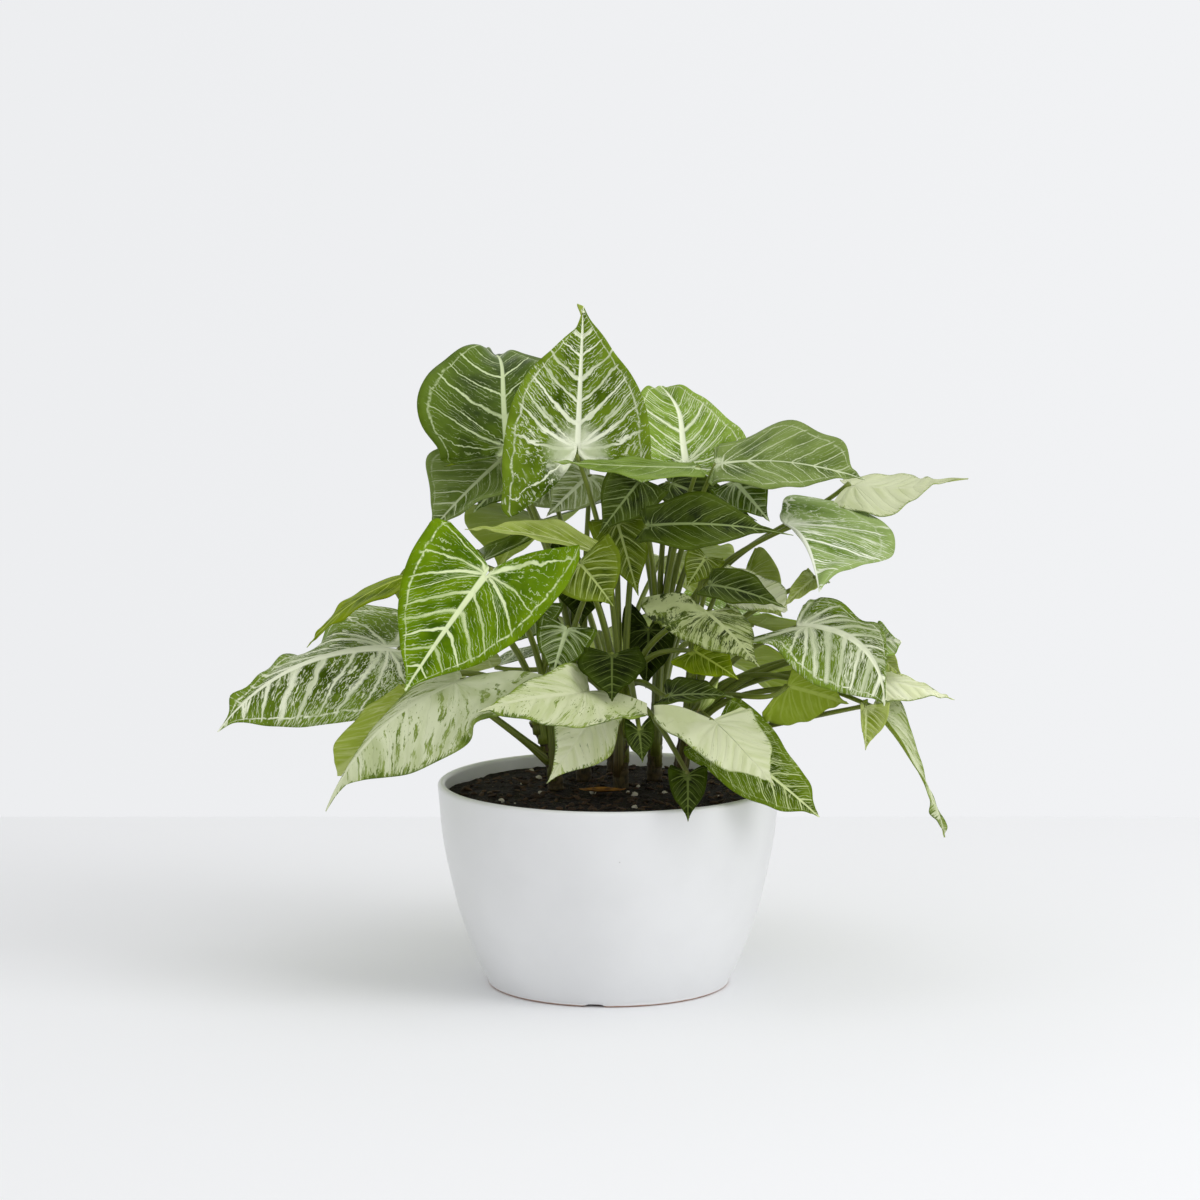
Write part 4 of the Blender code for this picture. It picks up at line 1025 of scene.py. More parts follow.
        lobes=(1.0, 1.0), arch=35, seed=39),
    Blade("leaf_back_3", "stem_back", (-6, 122, 210), (-6, 194, 166), (0, 0.5, 0.9), MARBLED,
        under=UNDER_PALE, lobes=(1.0, 1.0), arch=30, seed=40),
    Blade("leaf_back_4", "stem_back_left", (-85, 80, 262), (-140, 135, 215), (-0.5, 0.3, 0.9),
        VEINED_DARK, lobes=(1.0, 1.0), arch=30, seed=41),
    Blade("leaf_back_5", "stem_back_right", (95, 75, 222), (150, 125, 180), (0.5, 0.3, 0.9),
        VEINED_LIGHT, lobes=(1.0, 1.0), arch=30, seed=42),
    Blade("leaf_back_6", "stem_back", (-75, 100, 190), (-130, 150, 150), (-0.4, 0.4, 0.9),
        MARBLED, under=UNDER_PALE, lobes=(1.0, 1.0), arch=30, seed=43),
    Blade("leaf_back_7", "stem_back", (75, 105, 195), (125, 155, 150), (0.4, 0.4, 0.9),
        VEINED_DARK, lobes=(1.0, 1.0), arch=30, seed=44),
    Blade("leaf_back_8", "stem_back_right", (5, 110, 325), (10, 185, 310), (0, 0.2, 1),
        VEINED_WASHED, lobes=(1.0, 1.0), arch=35, seed=45),
)

YOUNG = (
    YoungBlade("young_upper_right", "stem_back_right", (38, 12, 324), (95, 2, 300),
        (0, -0.9, 0.4), DEEP_GREEN_PAINTED_SHADE, width=0.45, lobes=(0.3, 0.3), arch=20, seed=60),
    YoungBlade("young_upper_left", "stem_back_left", (-12, 26, 327), (-40, 16, 301),
        (0, -0.9, 0.4), VEINED_GREY, width=0.95, lobes=(0.5, 0.5), arch=15, seed=61),
    YoungBlade("young_middle", "stem_middle", (-16, 34, 268), (-18, 24, 228), (0, -1, 0.2), PAINTED_SHADE_DARK,
        width=1.1, lobes=(1.0, 1.0), arch=15, seed=62),
    YoungBlade("young_left", "stem_left", (-46, 24, 242), (-64, 14, 217), (0, -0.9, 0.4),
        VEINED_DARK, under=UNDER_OLIVE, lobes=(0.7, 0.7), seed=63),
    YoungBlade("young_right", "stem_right", (88, 24, 262), (112, 12, 236), (-0.3, -0.9, 0.5),
        LIME_PALE, width=1.1, lobes=(0.5, 0.5), seed=65),
    YoungBlade("young_low", "stem_middle", (26, 20, 228), (24, 10, 190), (0, -1, 0.2), PAINTED_SHADE_DARK,
        width=0.9, lobes=(1.0, 1.0), arch=15, seed=64),
)


# ---------------------------------------------------------------- stems and stalks

@dataclass(frozen=True)
class StalkFinish:
    """Stalk skin: green above, brown and pink towards the soil, with fine lengthwise lines."""

    name: str = "stalk_skin"

    def build(self) -> bpy.types.Material:
        """Graph of the stalks.

        Returns:
            The material.
        """
        g = Graph(self.name)
        share, turn, seed = g.mark("grow")
        _, _, z = g.place()
        lines = g.noise(g.vector(turn * 9.0, share * 5.0, seed), 1.0, 3.0, 0.6)
        blotch = g.noise(g.vector(turn * 1.2, share * 7.0, seed + 4.0), 1.0, 3.0)
        low = (z + blotch * 0.05 - 0.025 + g.scatter(seed) * 0.04).fall(0.135, 0.205)
        green = g.mix(lines.rise(0.3, 0.7), linear(84, 98, 16), linear(132, 146, 52))
        brown = g.mix(lines.rise(0.3, 0.7), linear(46, 38, 16), linear(104, 86, 56))
        colour = g.mix(low, green, brown)
        colour = g.mix(blotch.rise(0.62, 0.8) * 0.35, colour, linear(132, 104, 78))
        g.bump(lines, 0.0003, 0.6)
        return g.dress(Base_Color=colour, Roughness=0.42, Specular_IOR_Level=0.4)


@dataclass(frozen=True)
class BarkFinish:
    """Skin of the rooted stems: brown, ringed by old leaf scars, and kept dark partly as painted shade of the plant's
    inside.
    """

    name: str = "stem_bark"

    def build(self) -> bpy.types.Material:
        """Graph of the stems.

        Returns:
            The material.
        """
        g = Graph(self.name)
        share, turn, seed = g.mark("grow")
        grain = g.noise(g.vector(turn * 4.0, share * 14.0, seed), 1.0, 4.0, 0.6)
        rings = g.noise(g.vector(0.3, share * 30.0, seed), 1.0, 1.0)
        # Dark browns: the bark's own colour, darkened further as painted shade inside the plant.
        colour = g.mix(grain.rise(0.3, 0.7), linear(36, 30, 12), linear(84, 70, 38))
        colour = g.mix(rings.rise(0.55, 0.75) * 0.5, colour, linear(56, 56, 18))
        g.bump(grain * 0.6 + rings, 0.0004, 0.6)
        return g.dress(Base_Color=colour, Roughness=0.6, Specular_IOR_Level=0.3)


@dataclass
class Tube:
    """A round rod along a path with its own radius at every point, closed at both ends."""

    path: np.ndarray              # rows of three, mm
    radii: np.ndarray             # mm
    sides: int = 14
    seed: float = 0.0
    groove: float = 0.0           # depth of the furrow down one side, share of the radius

    def surface(self) -> Tuple[np.ndarray, np.ndarray, np.ndarray, List[List[int]]]:
        """Rings of points carried along the path on a frame that doesn't twist.

        Returns:
            Points, quads, the growth attribute and the two end faces.
        """
        ahead = np.gradient(self.path, axis=0)
        ahead = ahead / np.linalg.norm(ahead, axis=1)[:, None]
        lateral = np.cross(ahead, np.array((0.31, 0.95, 0.05)))
        lateral = lateral / np.linalg.norm(lateral, axis=1)[:, None]
        upright = np.cross(ahead, lateral)
        turn = circle(self.sides)
        wall = 1.0 - self.groove * np.exp(-((np.cos(turn / 2)) / 0.3) ** 2)
        around = (np.cos(turn) * wall)[None, :, None] * lateral[:, None]
        around = around + (np.sin(turn) * wall)[None, :, None] * upright[:, None]
        points = self.path[:, None] + around * self.radii[:, None, None]
        share = np.linspace(0.0, 1.0, len(self.path))[:, None] + 0 * turn[None]
        grow = np.stack((share, np.sin(turn / 2)[None] * 2 + 0 * share,
                         self.seed + 0 * share), -1)
        faces = grid_faces(len(self.path), self.sides, wrap=True)
        caps = end_caps(len(self.path), self.sides)
        return points.reshape(-1, 3), faces, grow.reshape(-1, 3), caps


def join_tubes(name: str, tubes: Sequence[Tube]) -> bpy.types.Object:
    """One object out of several closed tubes.

    Args:
        name: the piece's name.
        tubes: the tubes, whose faces follow each other in this order.

    Returns:
        The object.
    """
    points, faces, grows, caps, count = [], [], [], [], 0
    for tube in tubes:
        p, f, grow, ends = tube.surface()
        points.append(p)
        faces.append(f + count)
        grows.append(grow)
        caps += [[i + count for i in end] for end in ends]
        count += len(p)
    return make_mesh(name, np.vstack(points), np.vstack(faces), {"grow": np.vstack(grows)},
                     caps)


LOWEST_STALK = 0.14               # where a stem's first stalk leaves it, share of its height
STALK_SPAN = 0.81                 # from the first stalk to the last, share of its height
YOUNG_STALK = 0.5                 # where the stalks of young blades leave it


@dataclass
class Stem:
    """A rooted stem and the stalks that fan out from it."""

    node: str
    foot: Pair                    # where it leaves the soil
    lean: Pair                    # how far its top leans
    height: float                 # above the soil
    soil: float = 125.48          # foot height, just above the soil's top
    radius: float = 5.0
    ring_pitch: float = 11.0      # between two old leaf scars
    rings: int = 40
    sides: int = 20

    def axis(self, share: np.ndarray) -> np.ndarray:
        """Points on the axis: the lean grows with the square of the height."""
        held = np.atleast_1d(share)
        return np.stack((self.foot[0] + self.lean[0] * held ** 2,
                         self.foot[1] + self.lean[1] * held ** 2,
                         self.soil + self.height * held), -1)

    def stalk(self, blade: Blade, share: float, count: int = 34) -> np.ndarray:
        """Cubic path of a stalk from the stem into the blade's joint.

        Args:
            blade: the blade it carries.
            share: how far up the stem it starts.
            count: number of points.

        Returns:
            Rows of three in mm.
        """
        upper = blade.axes()[2]
        joint = np.array(blade.joint)
        foot = self.axis(share)[0]
        away = joint - foot
        away[2] = 0.0
        foot = foot + away / np.linalg.norm(away) * 1.5
        reach = np.linalg.norm(joint - foot)
        rise = foot + np.array((0.0, 0.0, 0.45 * reach)) + 0.1 * (joint - foot) + blade.bow
        arrive = (joint - rise) / np.linalg.norm(joint - rise)
        arrive = arrive + max(0.0, 0.6 - arrive.dot(upper)) * upper * 1.4
        arrive = arrive / np.linalg.norm(arrive)
        end = joint - upper * 0.35
        before = end - arrive * 0.3 * reach
        t = np.linspace(0.0, 1.0, count)[:, None]
        return (foot * (1 - t) ** 3 + rise * 3 * (1 - t) ** 2 * t
                + before * 3 * (1 - t) * t ** 2 + end * t ** 3)

    def stalk_tube(self, blade: Blade, share: float) -> Tube:
        """A stalk: flared at its foot, thinner upwards, with a small collar under the blade.

        Args:
            blade: the blade it carries.
            share: how far up the stem it starts.

        Returns:
            The tube.
        """
        path = self.stalk(blade, share)
        t = np.linspace(0.0, 1.0, len(path))
        radii = 2.9 - 1.45 * t ** 0.8 + 1.3 * np.exp(-(t / 0.10) ** 2)
        radii = radii + 0.35 * np.exp(-((1.0 - t) / 0.04) ** 2)
        return Tube(path, radii, 12, float(blade.seed), 0.12)

    def build(self, carried: Sequence[Blade], young: Sequence[Blade],
              materials: Dict[str, bpy.types.Material]) -> bpy.types.Object:
        """The stem with all its stalks as one piece.

        Args:
            carried: its blades with solids, whose stalks leave it in this order, lowest first.
            young: its young blades.
            materials: all finishes by name.

        Returns:
            The piece.
        """
        starts = LOWEST_STALK + STALK_SPAN * np.arange(len(carried)) / (len(carried) - 1)
        stalks = [self.stalk_tube(blade, start) for blade, start in zip(carried, starts)]
        stalks += [self.stalk_tube(blade, YOUNG_STALK) for blade in young]
        share = np.linspace(0.0, 1.0, self.rings)
        radii = self.radius * (1.0 - 0.25 * share)
        radii = radii + 0.45 * np.cos(share * self.height / self.ring_pitch * 2 * np.pi) ** 8
        stem = Tube(self.axis(share), radii, self.sides, float(self.height))
        thing = join_tubes(self.node + "_stalks", [stem] + stalks)
        slots = np.ones(len(thing.data.polygons), int)
        slots[:(self.rings - 1) * self.sides] = 0
        thing.data.polygons.foreach_set("material_index", slots)
        skins = [materials["stem_bark"], materials["stalk_skin"]]
        return finish_piece(thing, skins, Slot.STEM, self.node)


STEMS = (
    Stem("stem_left", (-34, 2), (-14, -4), 46),
    Stem("stem_back_left", (-16, 32), (-6, 2), 70),
    Stem("stem_middle", (8, 6), (2, -4), 60),
    Stem("stem_back_right", (30, 34), (4, 2), 70),
    Stem("stem_right", (46, 4), (6, -6), 46),
    Stem("stem_back", (4, 66), (0, 6), 50),
)


# ---------------------------------------------------------------- planter

@dataclass(frozen=True)
class GlazeFinish:
    """White satin glaze with a few dark pinholes and a bare clay line at the foot."""

    name: str = "white_glaze"

    def build(self) -> bpy.types.Material:
        """Graph of the glaze.

        Returns:
            The material.
        """
        g = Graph(self.name)
        x, y, z = g.place()
        here = g.vector(x, y, z)
        cloud = g.noise(here, 14.0, 3.0)
        glaze = g.mix(cloud.rise(0.3, 0.7), linear(229, 230, 231), linear(235, 236, 237))
        pin = g.cells(here, 95.0, "F1").fall(0.05, 0.09)
        rare = g.noise(here, 60.0, 0.0).rise(0.70, 0.74)
        glaze = g.mix(pin * rare * 0.6, glaze, linear(120, 116, 108))
        foot = (z + (g.noise(here, 120.0, 1.0) - 0.5) * 0.0006).fall(0.0008, 0.0014)
        colour = g.mix(foot, glaze, linear(176, 142, 124))
        g.bump(g.noise(here, 22.0, 2.0) + g.noise(here, 260.0, 2.0) * 0.04, 0.0009, 0.35)
        rough = foot * 0.35 + cloud * 0.08 + 0.28
        return g.dress(Base_Color=colour, Roughness=rough, Specular_IOR_Level=0.45)


@dataclass
class Planter:
    """The turned bowl: rounded rim, full sides and a flat foot with one small notch."""

    rim: float = 110.0
    height: float = 131.6
    wall: float = 5.0
    floor: float = 7.0
    notch_width: float = 12.0
    notch_height: float = 1.6
    notch_at: float = -9.0
    foot: float = 75.6            # radius where the foot's rounding begins
    foot_round: Pair = (2.2, 1.8)
    steps: int = 224
    # outer face, (radius, height), from under the rim to the foot
    side: Tuple[Pair, ...] = ((110.0, 130.2), (107.0, 97.0), (102.0, 71.0), (96.0, 47.0),
                              (87.6, 23.0), (80.6, 8.0), (77.6, 2.2), (75.2, 0.0))

    def outer(self, height: np.ndarray) -> np.ndarray:
        """Radius of the outer face at a height."""
        table = np.array(self.side)[::-1]
        return np.interp(height, table[:, 1], table[:, 0])

    def profile(self) -> np.ndarray:
        """Closed outline from the middle of the inner floor, over the rim, to the underside."""
        known = np.array(self.side)
        smooth = curve_through(known, np.linspace(0.0, 1.0, 64))
        smooth = smooth[(smooth[:, 1] < self.height - 3.0) & (smooth[:, 1] > 2.6)]
        inner = smooth[::-1] - np.array((self.wall, 0.0))
        inner = inner[inner[:, 1] > self.floor + 6.0]
        turn = np.linspace(np.pi, 0.0, 13)
        half = self.wall / 2
        lip = np.stack((self.rim - half + half * np.cos(turn),
                        self.height - half + half * np.sin(turn)), -1)
        turn = np.linspace(0.0, np.pi / 2, 6)
        wide, high = self.foot_round
        foot = np.stack((self.foot + wide * np.cos(turn), high - high * np.sin(turn)), -1)
        floor = np.array(((0.6, self.floor), (40.0, self.floor), (68.0, self.floor),
                          (76.0, self.floor + 2.0)))
        under = np.array(((70.0, 0.0), (45.0, 0.0), (0.6, 0.0)))
        return np.vstack((floor, inner, lip, smooth, foot, under))

    def build(self, material: bpy.types.Material) -> bpy.types.Object:
        """Turn the outline and press the notch into the foot.

        Args:
            material: the glaze.

        Returns:
            The piece.
        """
        outline = self.profile()
        turn = circle(self.steps)
        points = np.stack((outline[:, :1] * np.cos(turn), outline[:, :1] * np.sin(turn),
                           outline[:, 1:] + 0 * turn), -1)
        x, y, z = points[..., 0], points[..., 1], points[..., 2]
        near = np.exp(-((x - self.notch_at) / (self.notch_width / 2)) ** 8)
        near = near * ease((np.hypot(x, y) - 71.5) / 1.5) * (y < 0)
        lift = np.where(z < 4.0, near * self.notch_height * ease((4.0 - z) / 4.0), 0.0)
        points[..., 2] = z + lift
        faces = grid_faces(len(outline), self.steps, wrap=True)[:, ::-1]
        caps = [cap[::-1] for cap in end_caps(len(outline), self.steps)]
        thing = make_mesh("pot_bowl", points.reshape(-1, 3), faces, None, caps)
        return finish_piece(thing, [material], Slot.POT, "pot")


@dataclass(frozen=True)
class SoilFinish:
    """Damp potting soil: near black, with brown and grey crumbs."""

    name: str = "damp_soil"

    def build(self) -> bpy.types.Material:
        """Graph of the soil.

        Returns:
            The material.
        """
        g = Graph(self.name)
        x, y, z = g.place()
        here = g.vector(x, y, z)
        grain = g.noise(here, 420.0, 4.0, 0.6)
        crumb = g.cells(here, 320.0, "F1")
        colour = g.mix(grain.rise(0.35, 0.7), linear(12, 9, 7), linear(40, 32, 24))
        colour = g.mix(g.noise(here, 900.0, 1.0).rise(0.68, 0.74), colour,
                       linear(118, 104, 86))
        g.bump(grain + crumb * 0.6, 0.0016, 0.9)
        return g.dress(Base_Color=colour, Roughness=0.9, Specular_IOR_Level=0.2)


@dataclass(frozen=True)
class ChipFinish:
    """Bark chips in browns with their own shade each, and a few pale grit stones."""

    name: str = "bark_chips"

    def build(self) -> bpy.types.Material:
        """Graph of the chips.

        Returns:
            The material.
        """
        g = Graph(self.name)
        shade, pale, _ = g.mark("chip")
        x, y, z = g.place()
        grain = g.noise(g.vector(x, y * 0.3, z), 900.0, 3.0)
        brown = g.mix(shade, linear(24, 17, 12), linear(84, 64, 46))
        brown = g.mix(grain.rise(0.4, 0.8) * 0.5, brown, linear(30, 22, 16))
        colour = g.mix(pale, brown, linear(196, 190, 176))
        g.bump(grain, 0.0004, 0.6)
        return g.dress(Base_Color=colour, Roughness=0.8, Specular_IOR_Level=0.25)


@dataclass
class Soil:
    """Soil that fills the bowl, and its chips."""

    planter: Planter
    top: float = 125.0
    drop: float = 2.0
    rings: int = 90
    steps: int = 200
    side_levels: Tuple[float, ...] = (108.0, 90.0, 60.0, 30.0, 16.0)
    strewn: float = 97.0          # radius of the area with chips
    grit_share: float = 0.035     # share of the chips that are pale grit

    def radius(self, height: float) -> float:
        """Radius just inside the bowl's wall."""
        return float(self.planter.outer(np.array(height))) - self.planter.wall - 0.3

    def height(self, x: np.ndarray, y: np.ndarray) -> np.ndarray:
        """Height of the surface: flat in the middle, lower at the wall, with three sizes of lumps."""
        flat = np.stack((x, y, 0 * x), -1).reshape(-1, 3)
        lumps = 1.3 * bumps(flat, 17.0, 3) + 0.9 * bumps(flat, 5.0, 4) + 0.45 * bumps(flat, 2.1, 5)
        edge = ease((np.hypot(x, y) - 74.0) / 26.0)
        return self.top - self.drop * edge + lumps.reshape(x.shape)

    def build(self, material: bpy.types.Material) -> bpy.types.Object:
        """Closed body of soil: lumpy top, sides along the bowl and a flat bottom.

        Args:
            material: the soil's finish.

        Returns:
            The piece.
        """
        turn = circle(self.steps)
        edge = self.radius(self.top - self.drop)
        radius = np.linspace(0.4, edge, self.rings)[:, None]
        x, y = radius * np.cos(turn), radius * np.sin(turn)
        top = np.stack((x, y, self.height(x, y)), -1)
        sides = [np.stack((self.radius(z) * np.cos(turn), self.radius(z) * np.sin(turn),
                           0 * turn + z), -1) for z in self.side_levels]
        points = np.concatenate((top, np.stack(sides)))
        faces = grid_faces(len(points), self.steps, wrap=True)
        caps = [cap[::-1] for cap in end_caps(len(points), self.steps)]
        thing = make_mesh("soil_bed", points.reshape(-1, 3), faces, None, caps)
        return finish_piece(thing, [material], Slot.SOIL, "soil")

    def build_chips(self, material: bpy.types.Material, count: int = 620) -> bpy.types.Object:
        """Bark chips and grit: squashed, dented rings of points scattered over the surface.

        Args:
            material: the chips' finish.
            count: number of chips.

        Returns:
            The piece.
        """
        rng = np.random.default_rng(11)
        lift = np.array((-1.0, -0.72, 0.0, 0.72, 1.0))
        girth = np.array((0.12, 0.72, 1.0, 0.72, 0.12))
        sides = 7
        turn = circle(sides)
        lump = np.stack((girth[:, None] * np.cos(turn), girth[:, None] * np.sin(turn),
                         lift[:, None] + 0 * turn), -1).reshape(-1, 3)
        away = self.strewn * np.sqrt(rng.uniform(0.0, 1.0, count))
        angle = rng.uniform(0.0, 2 * np.pi, count)
        x, y = away * np.cos(angle), away * np.sin(angle)
        size = rng.uniform(0.6, 2.2, count) ** 1.1
        grit = rng.uniform(0.0, 1.0, count) > 1.0 - self.grit_share
        long = np.where(grit, 1.0, rng.uniform(1.0, 2.4, count))
        thin = np.where(grit, 0.8, rng.uniform(0.25, 0.6, count))
        shape = lump[None] * (1.0 + 0.25 * rng.uniform(-1.0, 1.0, (count, len(lump), 1)))
        shape = shape * np.stack((size * long, size, size * thin), -1)[:, None]
        tilt = rng.uniform(-0.5, 0.5, count)
        spin = rng.uniform(0.0, 2 * np.pi, count)
        across, up = turned(shape[..., 0], shape[..., 2], tilt[:, None])
        across, back = turned(across, shape[..., 1], spin[:, None])
        base = self.height(x, y) + size * thin * 0.35
        points = np.stack((across + x[:, None], back + y[:, None], up + base[:, None]), -1)
        ring = grid_faces(len(lift), sides, wrap=True)
        offsets = np.arange(count) * len(lump)
        faces = (ring[None] + offsets[:, None, None]).reshape(-1, 4)
        ends = [[int(o) + i for i in cap] for cap in end_caps(len(lift), sides) for o in offsets]
        shade = rng.uniform(0.0, 1.0, count)
        marks = np.stack((shade, grit * 1.0, shade * 9.0), -1)
        marks = np.repeat(marks, len(lump), axis=0)
        thing = make_mesh("soil_chips", points.reshape(-1, 3), faces, {"chip": marks}, ends)
        return finish_piece(thing, [material], Slot.SOIL)


@dataclass(frozen=True)
class ShedFinish:
    """Dry leaf on the soil: orange brown with darker clouds."""

    name: str = "shed_leaf"

    def build(self) -> bpy.types.Material:
        """Graph of the dry leaf.

        Returns:
            The material.
        """
        g = Graph(self.name)
        x, y, z = g.place()
        cloud = g.noise(g.vector(x * 0.4, y, z), 300.0, 3.0)
        colour = g.mix(cloud.rise(0.35, 0.65), linear(84, 52, 16), linear(150, 104, 40))
        g.bump(cloud, 0.0004, 0.6)
        return g.dress(Base_Color=colour, Roughness=0.7, Specular_IOR_Level=0.2)


@dataclass
class ShedLeaf:
    """A dry leaf curled on the soil."""

    middle: Triple = (-4.0, -24.0, 128.3)
    length: float = 30.0
    width: float = 11.0

    def build(self, material: bpy.types.Material) -> bpy.types.Object:
        """A lens: the half width follows a half sine, the sides and the ends curl up.

        Args:
            material: the dry leaf's finish.

        Returns:
            The piece.
        """
        rows, columns = 30, 11
        along, across = np.meshgrid(np.linspace(0.0, 1.0, rows), np.linspace(-1.0, 1.0, columns),
                                    indexing="ij")
        half = 0.5 * self.width * np.sin(np.pi * (0.02 + 0.96 * along)) ** 0.8
        x = (along - 0.5) * self.length
        y = across * half + 2.0 * np.sin(3.0 * along)
        z = 0.22 * (across * half) ** 2 * 0.3 + 0.010 * x * x
        points = np.stack((x, y, z), -1).reshape(-1, 3) + np.array(self.middle)
        thing = make_mesh("shed_leaf", points, grid_faces(rows, columns))
        solid = thing.modifiers.new("thickness", "SOLIDIFY")
        solid.thickness = 0.4 * MM
        return finish_piece(thing, [material], Slot.SOIL)


@dataclass(frozen=True)
class ShootFinish:
    """Rolled young leaf: yellow green at its tip, pink brown at its stalk."""

    name: str = "young_shoot"

    def build(self) -> bpy.types.Material:
        """Graph of the shoot.

        Returns:
            The material.
        """
        g = Graph(self.name)
        share, turn, _ = g.mark("grow")
        lines = g.noise(g.vector(turn * 6.0, share * 3.0, 2.0), 1.0, 3.0)
        blade = g.mix(lines.rise(0.35, 0.65), linear(128, 156, 44), linear(196, 210, 130))
        stalk = g.mix(lines.rise(0.35, 0.65), linear(128, 92, 66), linear(188, 150, 120))
        colour = g.mix(share.rise(0.52, 0.66), stalk, blade)
        g.bump(lines, 0.0003, 0.6)
        return g.dress(Base_Color=colour, Roughness=0.45, Specular_IOR_Level=0.3)


@dataclass
class Shoot:
    """A young leaf still rolled into a spindle, on its stalk from the right stem."""

    path: Tuple[Triple, ...] = ((50.0, -1.0, 150.0), (53.0, -30.0, 170.0),
                                (56.0, -56.0, 184.0), (62.0, -64.0, 195.0),
                                (69.0, -67.0, 208.0))

    def build(self, material: bpy.types.Material) -> bpy.types.Object:
        """A tube along the path that swells into the rolled blade and ends in a point.

        Args:
            material: the shoot's finish.

        Returns:
            The piece.
        """
        share = np.linspace(0.0, 1.0, 60)
        radii = 1.5 + 2.6 * np.exp(-((share - 0.78) / 0.12) ** 2)
        radii = radii * np.clip((1.0 - share) / 0.12, 0.05, 1.0) ** 0.7
        thing = join_tubes("young_shoot", [Tube(curve_through(self.path, share), radii, 12)])
        return finish_piece(thing, [material], Slot.STEM)


# ---------------------------------------------------------------- floor, wall, light, camera

@dataclass(frozen=True)
class Lamp:
    """A square soft lamp that looks at the plant; metres and watts."""

    name: str
    place: Triple
    size: float
    power: float
    aim: Triple = (0.0, 0.0, 0.2)

    def build(self) -> None:
        """Hang the lamp."""
        data = bpy.data.lights.new(self.name, "AREA")
        data.size = self.size
        data.energy = self.power
        aim_at(bpy.data.objects.new(self.name, data), self.place, self.aim)


def aim_at(thing: bpy.types.Object, place: Triple, aim: Triple) -> None:
    """Put a lamp or camera at a place, link it and let it look at another."""
    thing.location = place
    toward = Vector(aim) - Vector(place)
    thing.rotation_euler = toward.to_track_quat("-Z", "Y").to_euler()
    bpy.context.scene.collection.objects.link(thing)


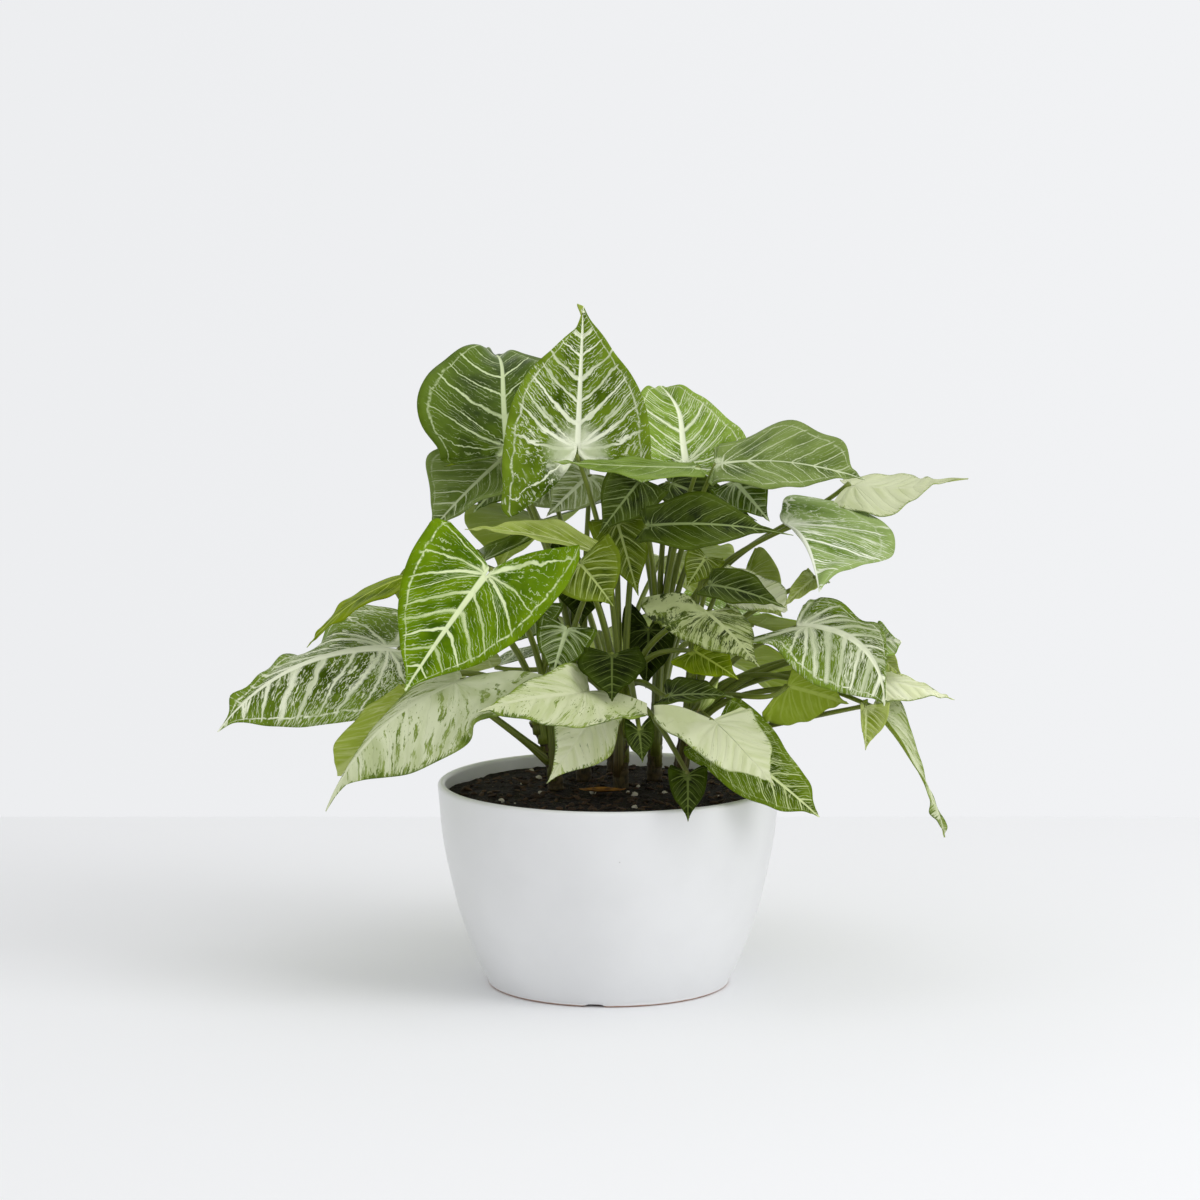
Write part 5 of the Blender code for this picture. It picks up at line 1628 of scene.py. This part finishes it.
@dataclass
class Studio:
    """Pale floor and wall, soft lamps and the camera; metres."""

    floor_reach: float = 6.0
    wall_reach: float = 2.5
    wall_at: float = 0.558
    eye: Triple = (-0.0055, -2.9687, 0.6811)
    aim: Triple = (-0.0055, 0.0, 0.2491)
    lens: float = 140.5
    air: float = 0.72             # strength of the light from all round
    lamps: Tuple[Lamp, ...] = (Lamp("lamp_right", (2.2, -1.2, 1.7), 1.6, 26.0),
                               Lamp("lamp_top", (0.3, -0.4, 2.6), 2.0, 10.0))

    def sheet(self, name: str, corners: Sequence[Triple],
              material: bpy.types.Material) -> bpy.types.Object:
        """A flat stage surface.

        Args:
            name: its name.
            corners: its four corners in metres.
            material: its finish.

        Returns:
            The surface.
        """
        points = np.array(corners) / MM
        thing = make_mesh(name, points, np.array([[0, 1, 2, 3]]))
        thing.data.materials.append(material)
        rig.stage(thing)
        return thing

    def floor_material(self) -> bpy.types.Material:
        """Matt white paper."""
        g = Graph("floor_paper")
        return g.dress(Base_Color=linear(243, 244, 246), Roughness=0.9, Specular_IOR_Level=0.0)

    def wall_material(self) -> bpy.types.Material:
        """Wall that shows only its front, at its own brightness, lighter to the right as painted light from the lamp
        on that side.
        """
        g = Graph("wall_paper")
        x, _, _ = g.place()
        # Painted light: the wall brightens towards the right, where the lamp stands.
        colour = g.mix(x.rise(-0.5, 0.5), linear(237, 238, 240), linear(241, 242, 244))
        glow = g.node("ShaderNodeEmission", None, {"Color": colour, "Strength": 1.0})
        clear = g.node("ShaderNodeBsdfTransparent")
        back = g.node("ShaderNodeNewGeometry").outputs["Backfacing"]
        mixed = g.node("ShaderNodeMixShader", None,
                       {0: back, 1: glow.outputs[0], 2: clear.outputs[0]})
        g.tree.nodes.remove(g.shader)
        g.feed(g.tree.nodes["Material Output"].inputs["Surface"], mixed.outputs[0])
        return g.material

    def world(self) -> None:
        """Even white light from all round; seen directly it is the wall's colour."""
        world = bpy.data.worlds.new("studio_air")
        bpy.context.scene.world = world
        world.use_nodes = True
        nodes, links = world.node_tree.nodes, world.node_tree.links
        lit = nodes["Background"]
        lit.inputs["Color"].default_value = (1.0, 1.0, 1.0, 1.0)
        lit.inputs["Strength"].default_value = self.air
        seen = nodes.new("ShaderNodeBackground")
        seen.inputs["Color"].default_value = (*linear(240, 241, 243), 1.0)
        rays = nodes.new("ShaderNodeLightPath")
        either = nodes.new("ShaderNodeMath")
        either.operation = "MAXIMUM"
        links.new(rays.outputs["Is Camera Ray"], either.inputs[0])
        links.new(rays.outputs["Is Glossy Ray"], either.inputs[1])
        both = nodes.new("ShaderNodeMixShader")
        links.new(either.outputs[0], both.inputs[0])
        links.new(lit.outputs[0], both.inputs[1])
        links.new(seen.outputs[0], both.inputs[2])
        links.new(both.outputs[0], nodes["World Output"].inputs["Surface"])

    def build(self) -> None:
        """Set the stage."""
        far, wide, y = self.floor_reach, self.wall_reach, self.wall_at
        self.sheet("floor", ((-far, -far, 0), (far, -far, 0), (far, far, 0), (-far, far, 0)),
                   self.floor_material())
        wall = self.sheet("wall", ((-wide, y, 0), (wide, y, 0), (wide, y, wide), (-wide, y, wide)),
                          self.wall_material())
        for ray in ("diffuse", "glossy", "transmission", "shadow"):
            setattr(wall, "visible_" + ray, False)
        self.world()
        for lamp in self.lamps:
            lamp.build()
        data = bpy.data.cameras.new("camera")
        data.lens = self.lens
        data.sensor_width = 36.0
        data.clip_end = 50.0
        camera = bpy.data.objects.new("camera", data)
        aim_at(camera, self.eye, self.aim)
        bpy.context.scene.camera = camera
        bpy.context.scene.view_settings.view_transform = "Standard"


def box_numbers(corners: Tuple[Vector, Vector]) -> List[List[float]]:
    """Two corners as plain lists."""
    return [[round(float(v), 6) for v in corner] for corner in corners]


def main() -> None:
    """Load the solids, build every piece in order and write the two boxes."""
    logging.basicConfig(level=logging.INFO, format="%(name)s: %(message)s")
    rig.load()
    solid_box = box_numbers(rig.bounds())
    blades = (*BLADES, *YOUNG)
    finishes = [blade.finish for blade in blades] + [blade.underside for blade in blades]
    finishes += [StalkFinish(), BarkFinish(), GlazeFinish(), SoilFinish(), ChipFinish(),
                 ShedFinish(), ShootFinish()]
    materials = {finish.name: finish.build() for finish in dict.fromkeys(finishes)}
    planter = Planter()
    planter.build(materials["white_glaze"])
    soil = Soil(planter)
    soil.build(materials["damp_soil"])
    soil.build_chips(materials["bark_chips"])
    ShedLeaf().build(materials["shed_leaf"])
    Shoot().build(materials["young_shoot"])
    for stem in STEMS:
        stem.build([blade for blade in BLADES if blade.stem == stem.node],
                   [blade for blade in YOUNG if blade.stem == stem.node], materials)
    for blade in blades:
        blade.build(materials)
    Studio().build()
    boxes = {"cad": solid_box, "visual": box_numbers(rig.bounds())}
    with open("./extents.json", "w") as target:
        json.dump(boxes, target)


if __name__ == "__main__":
    main()
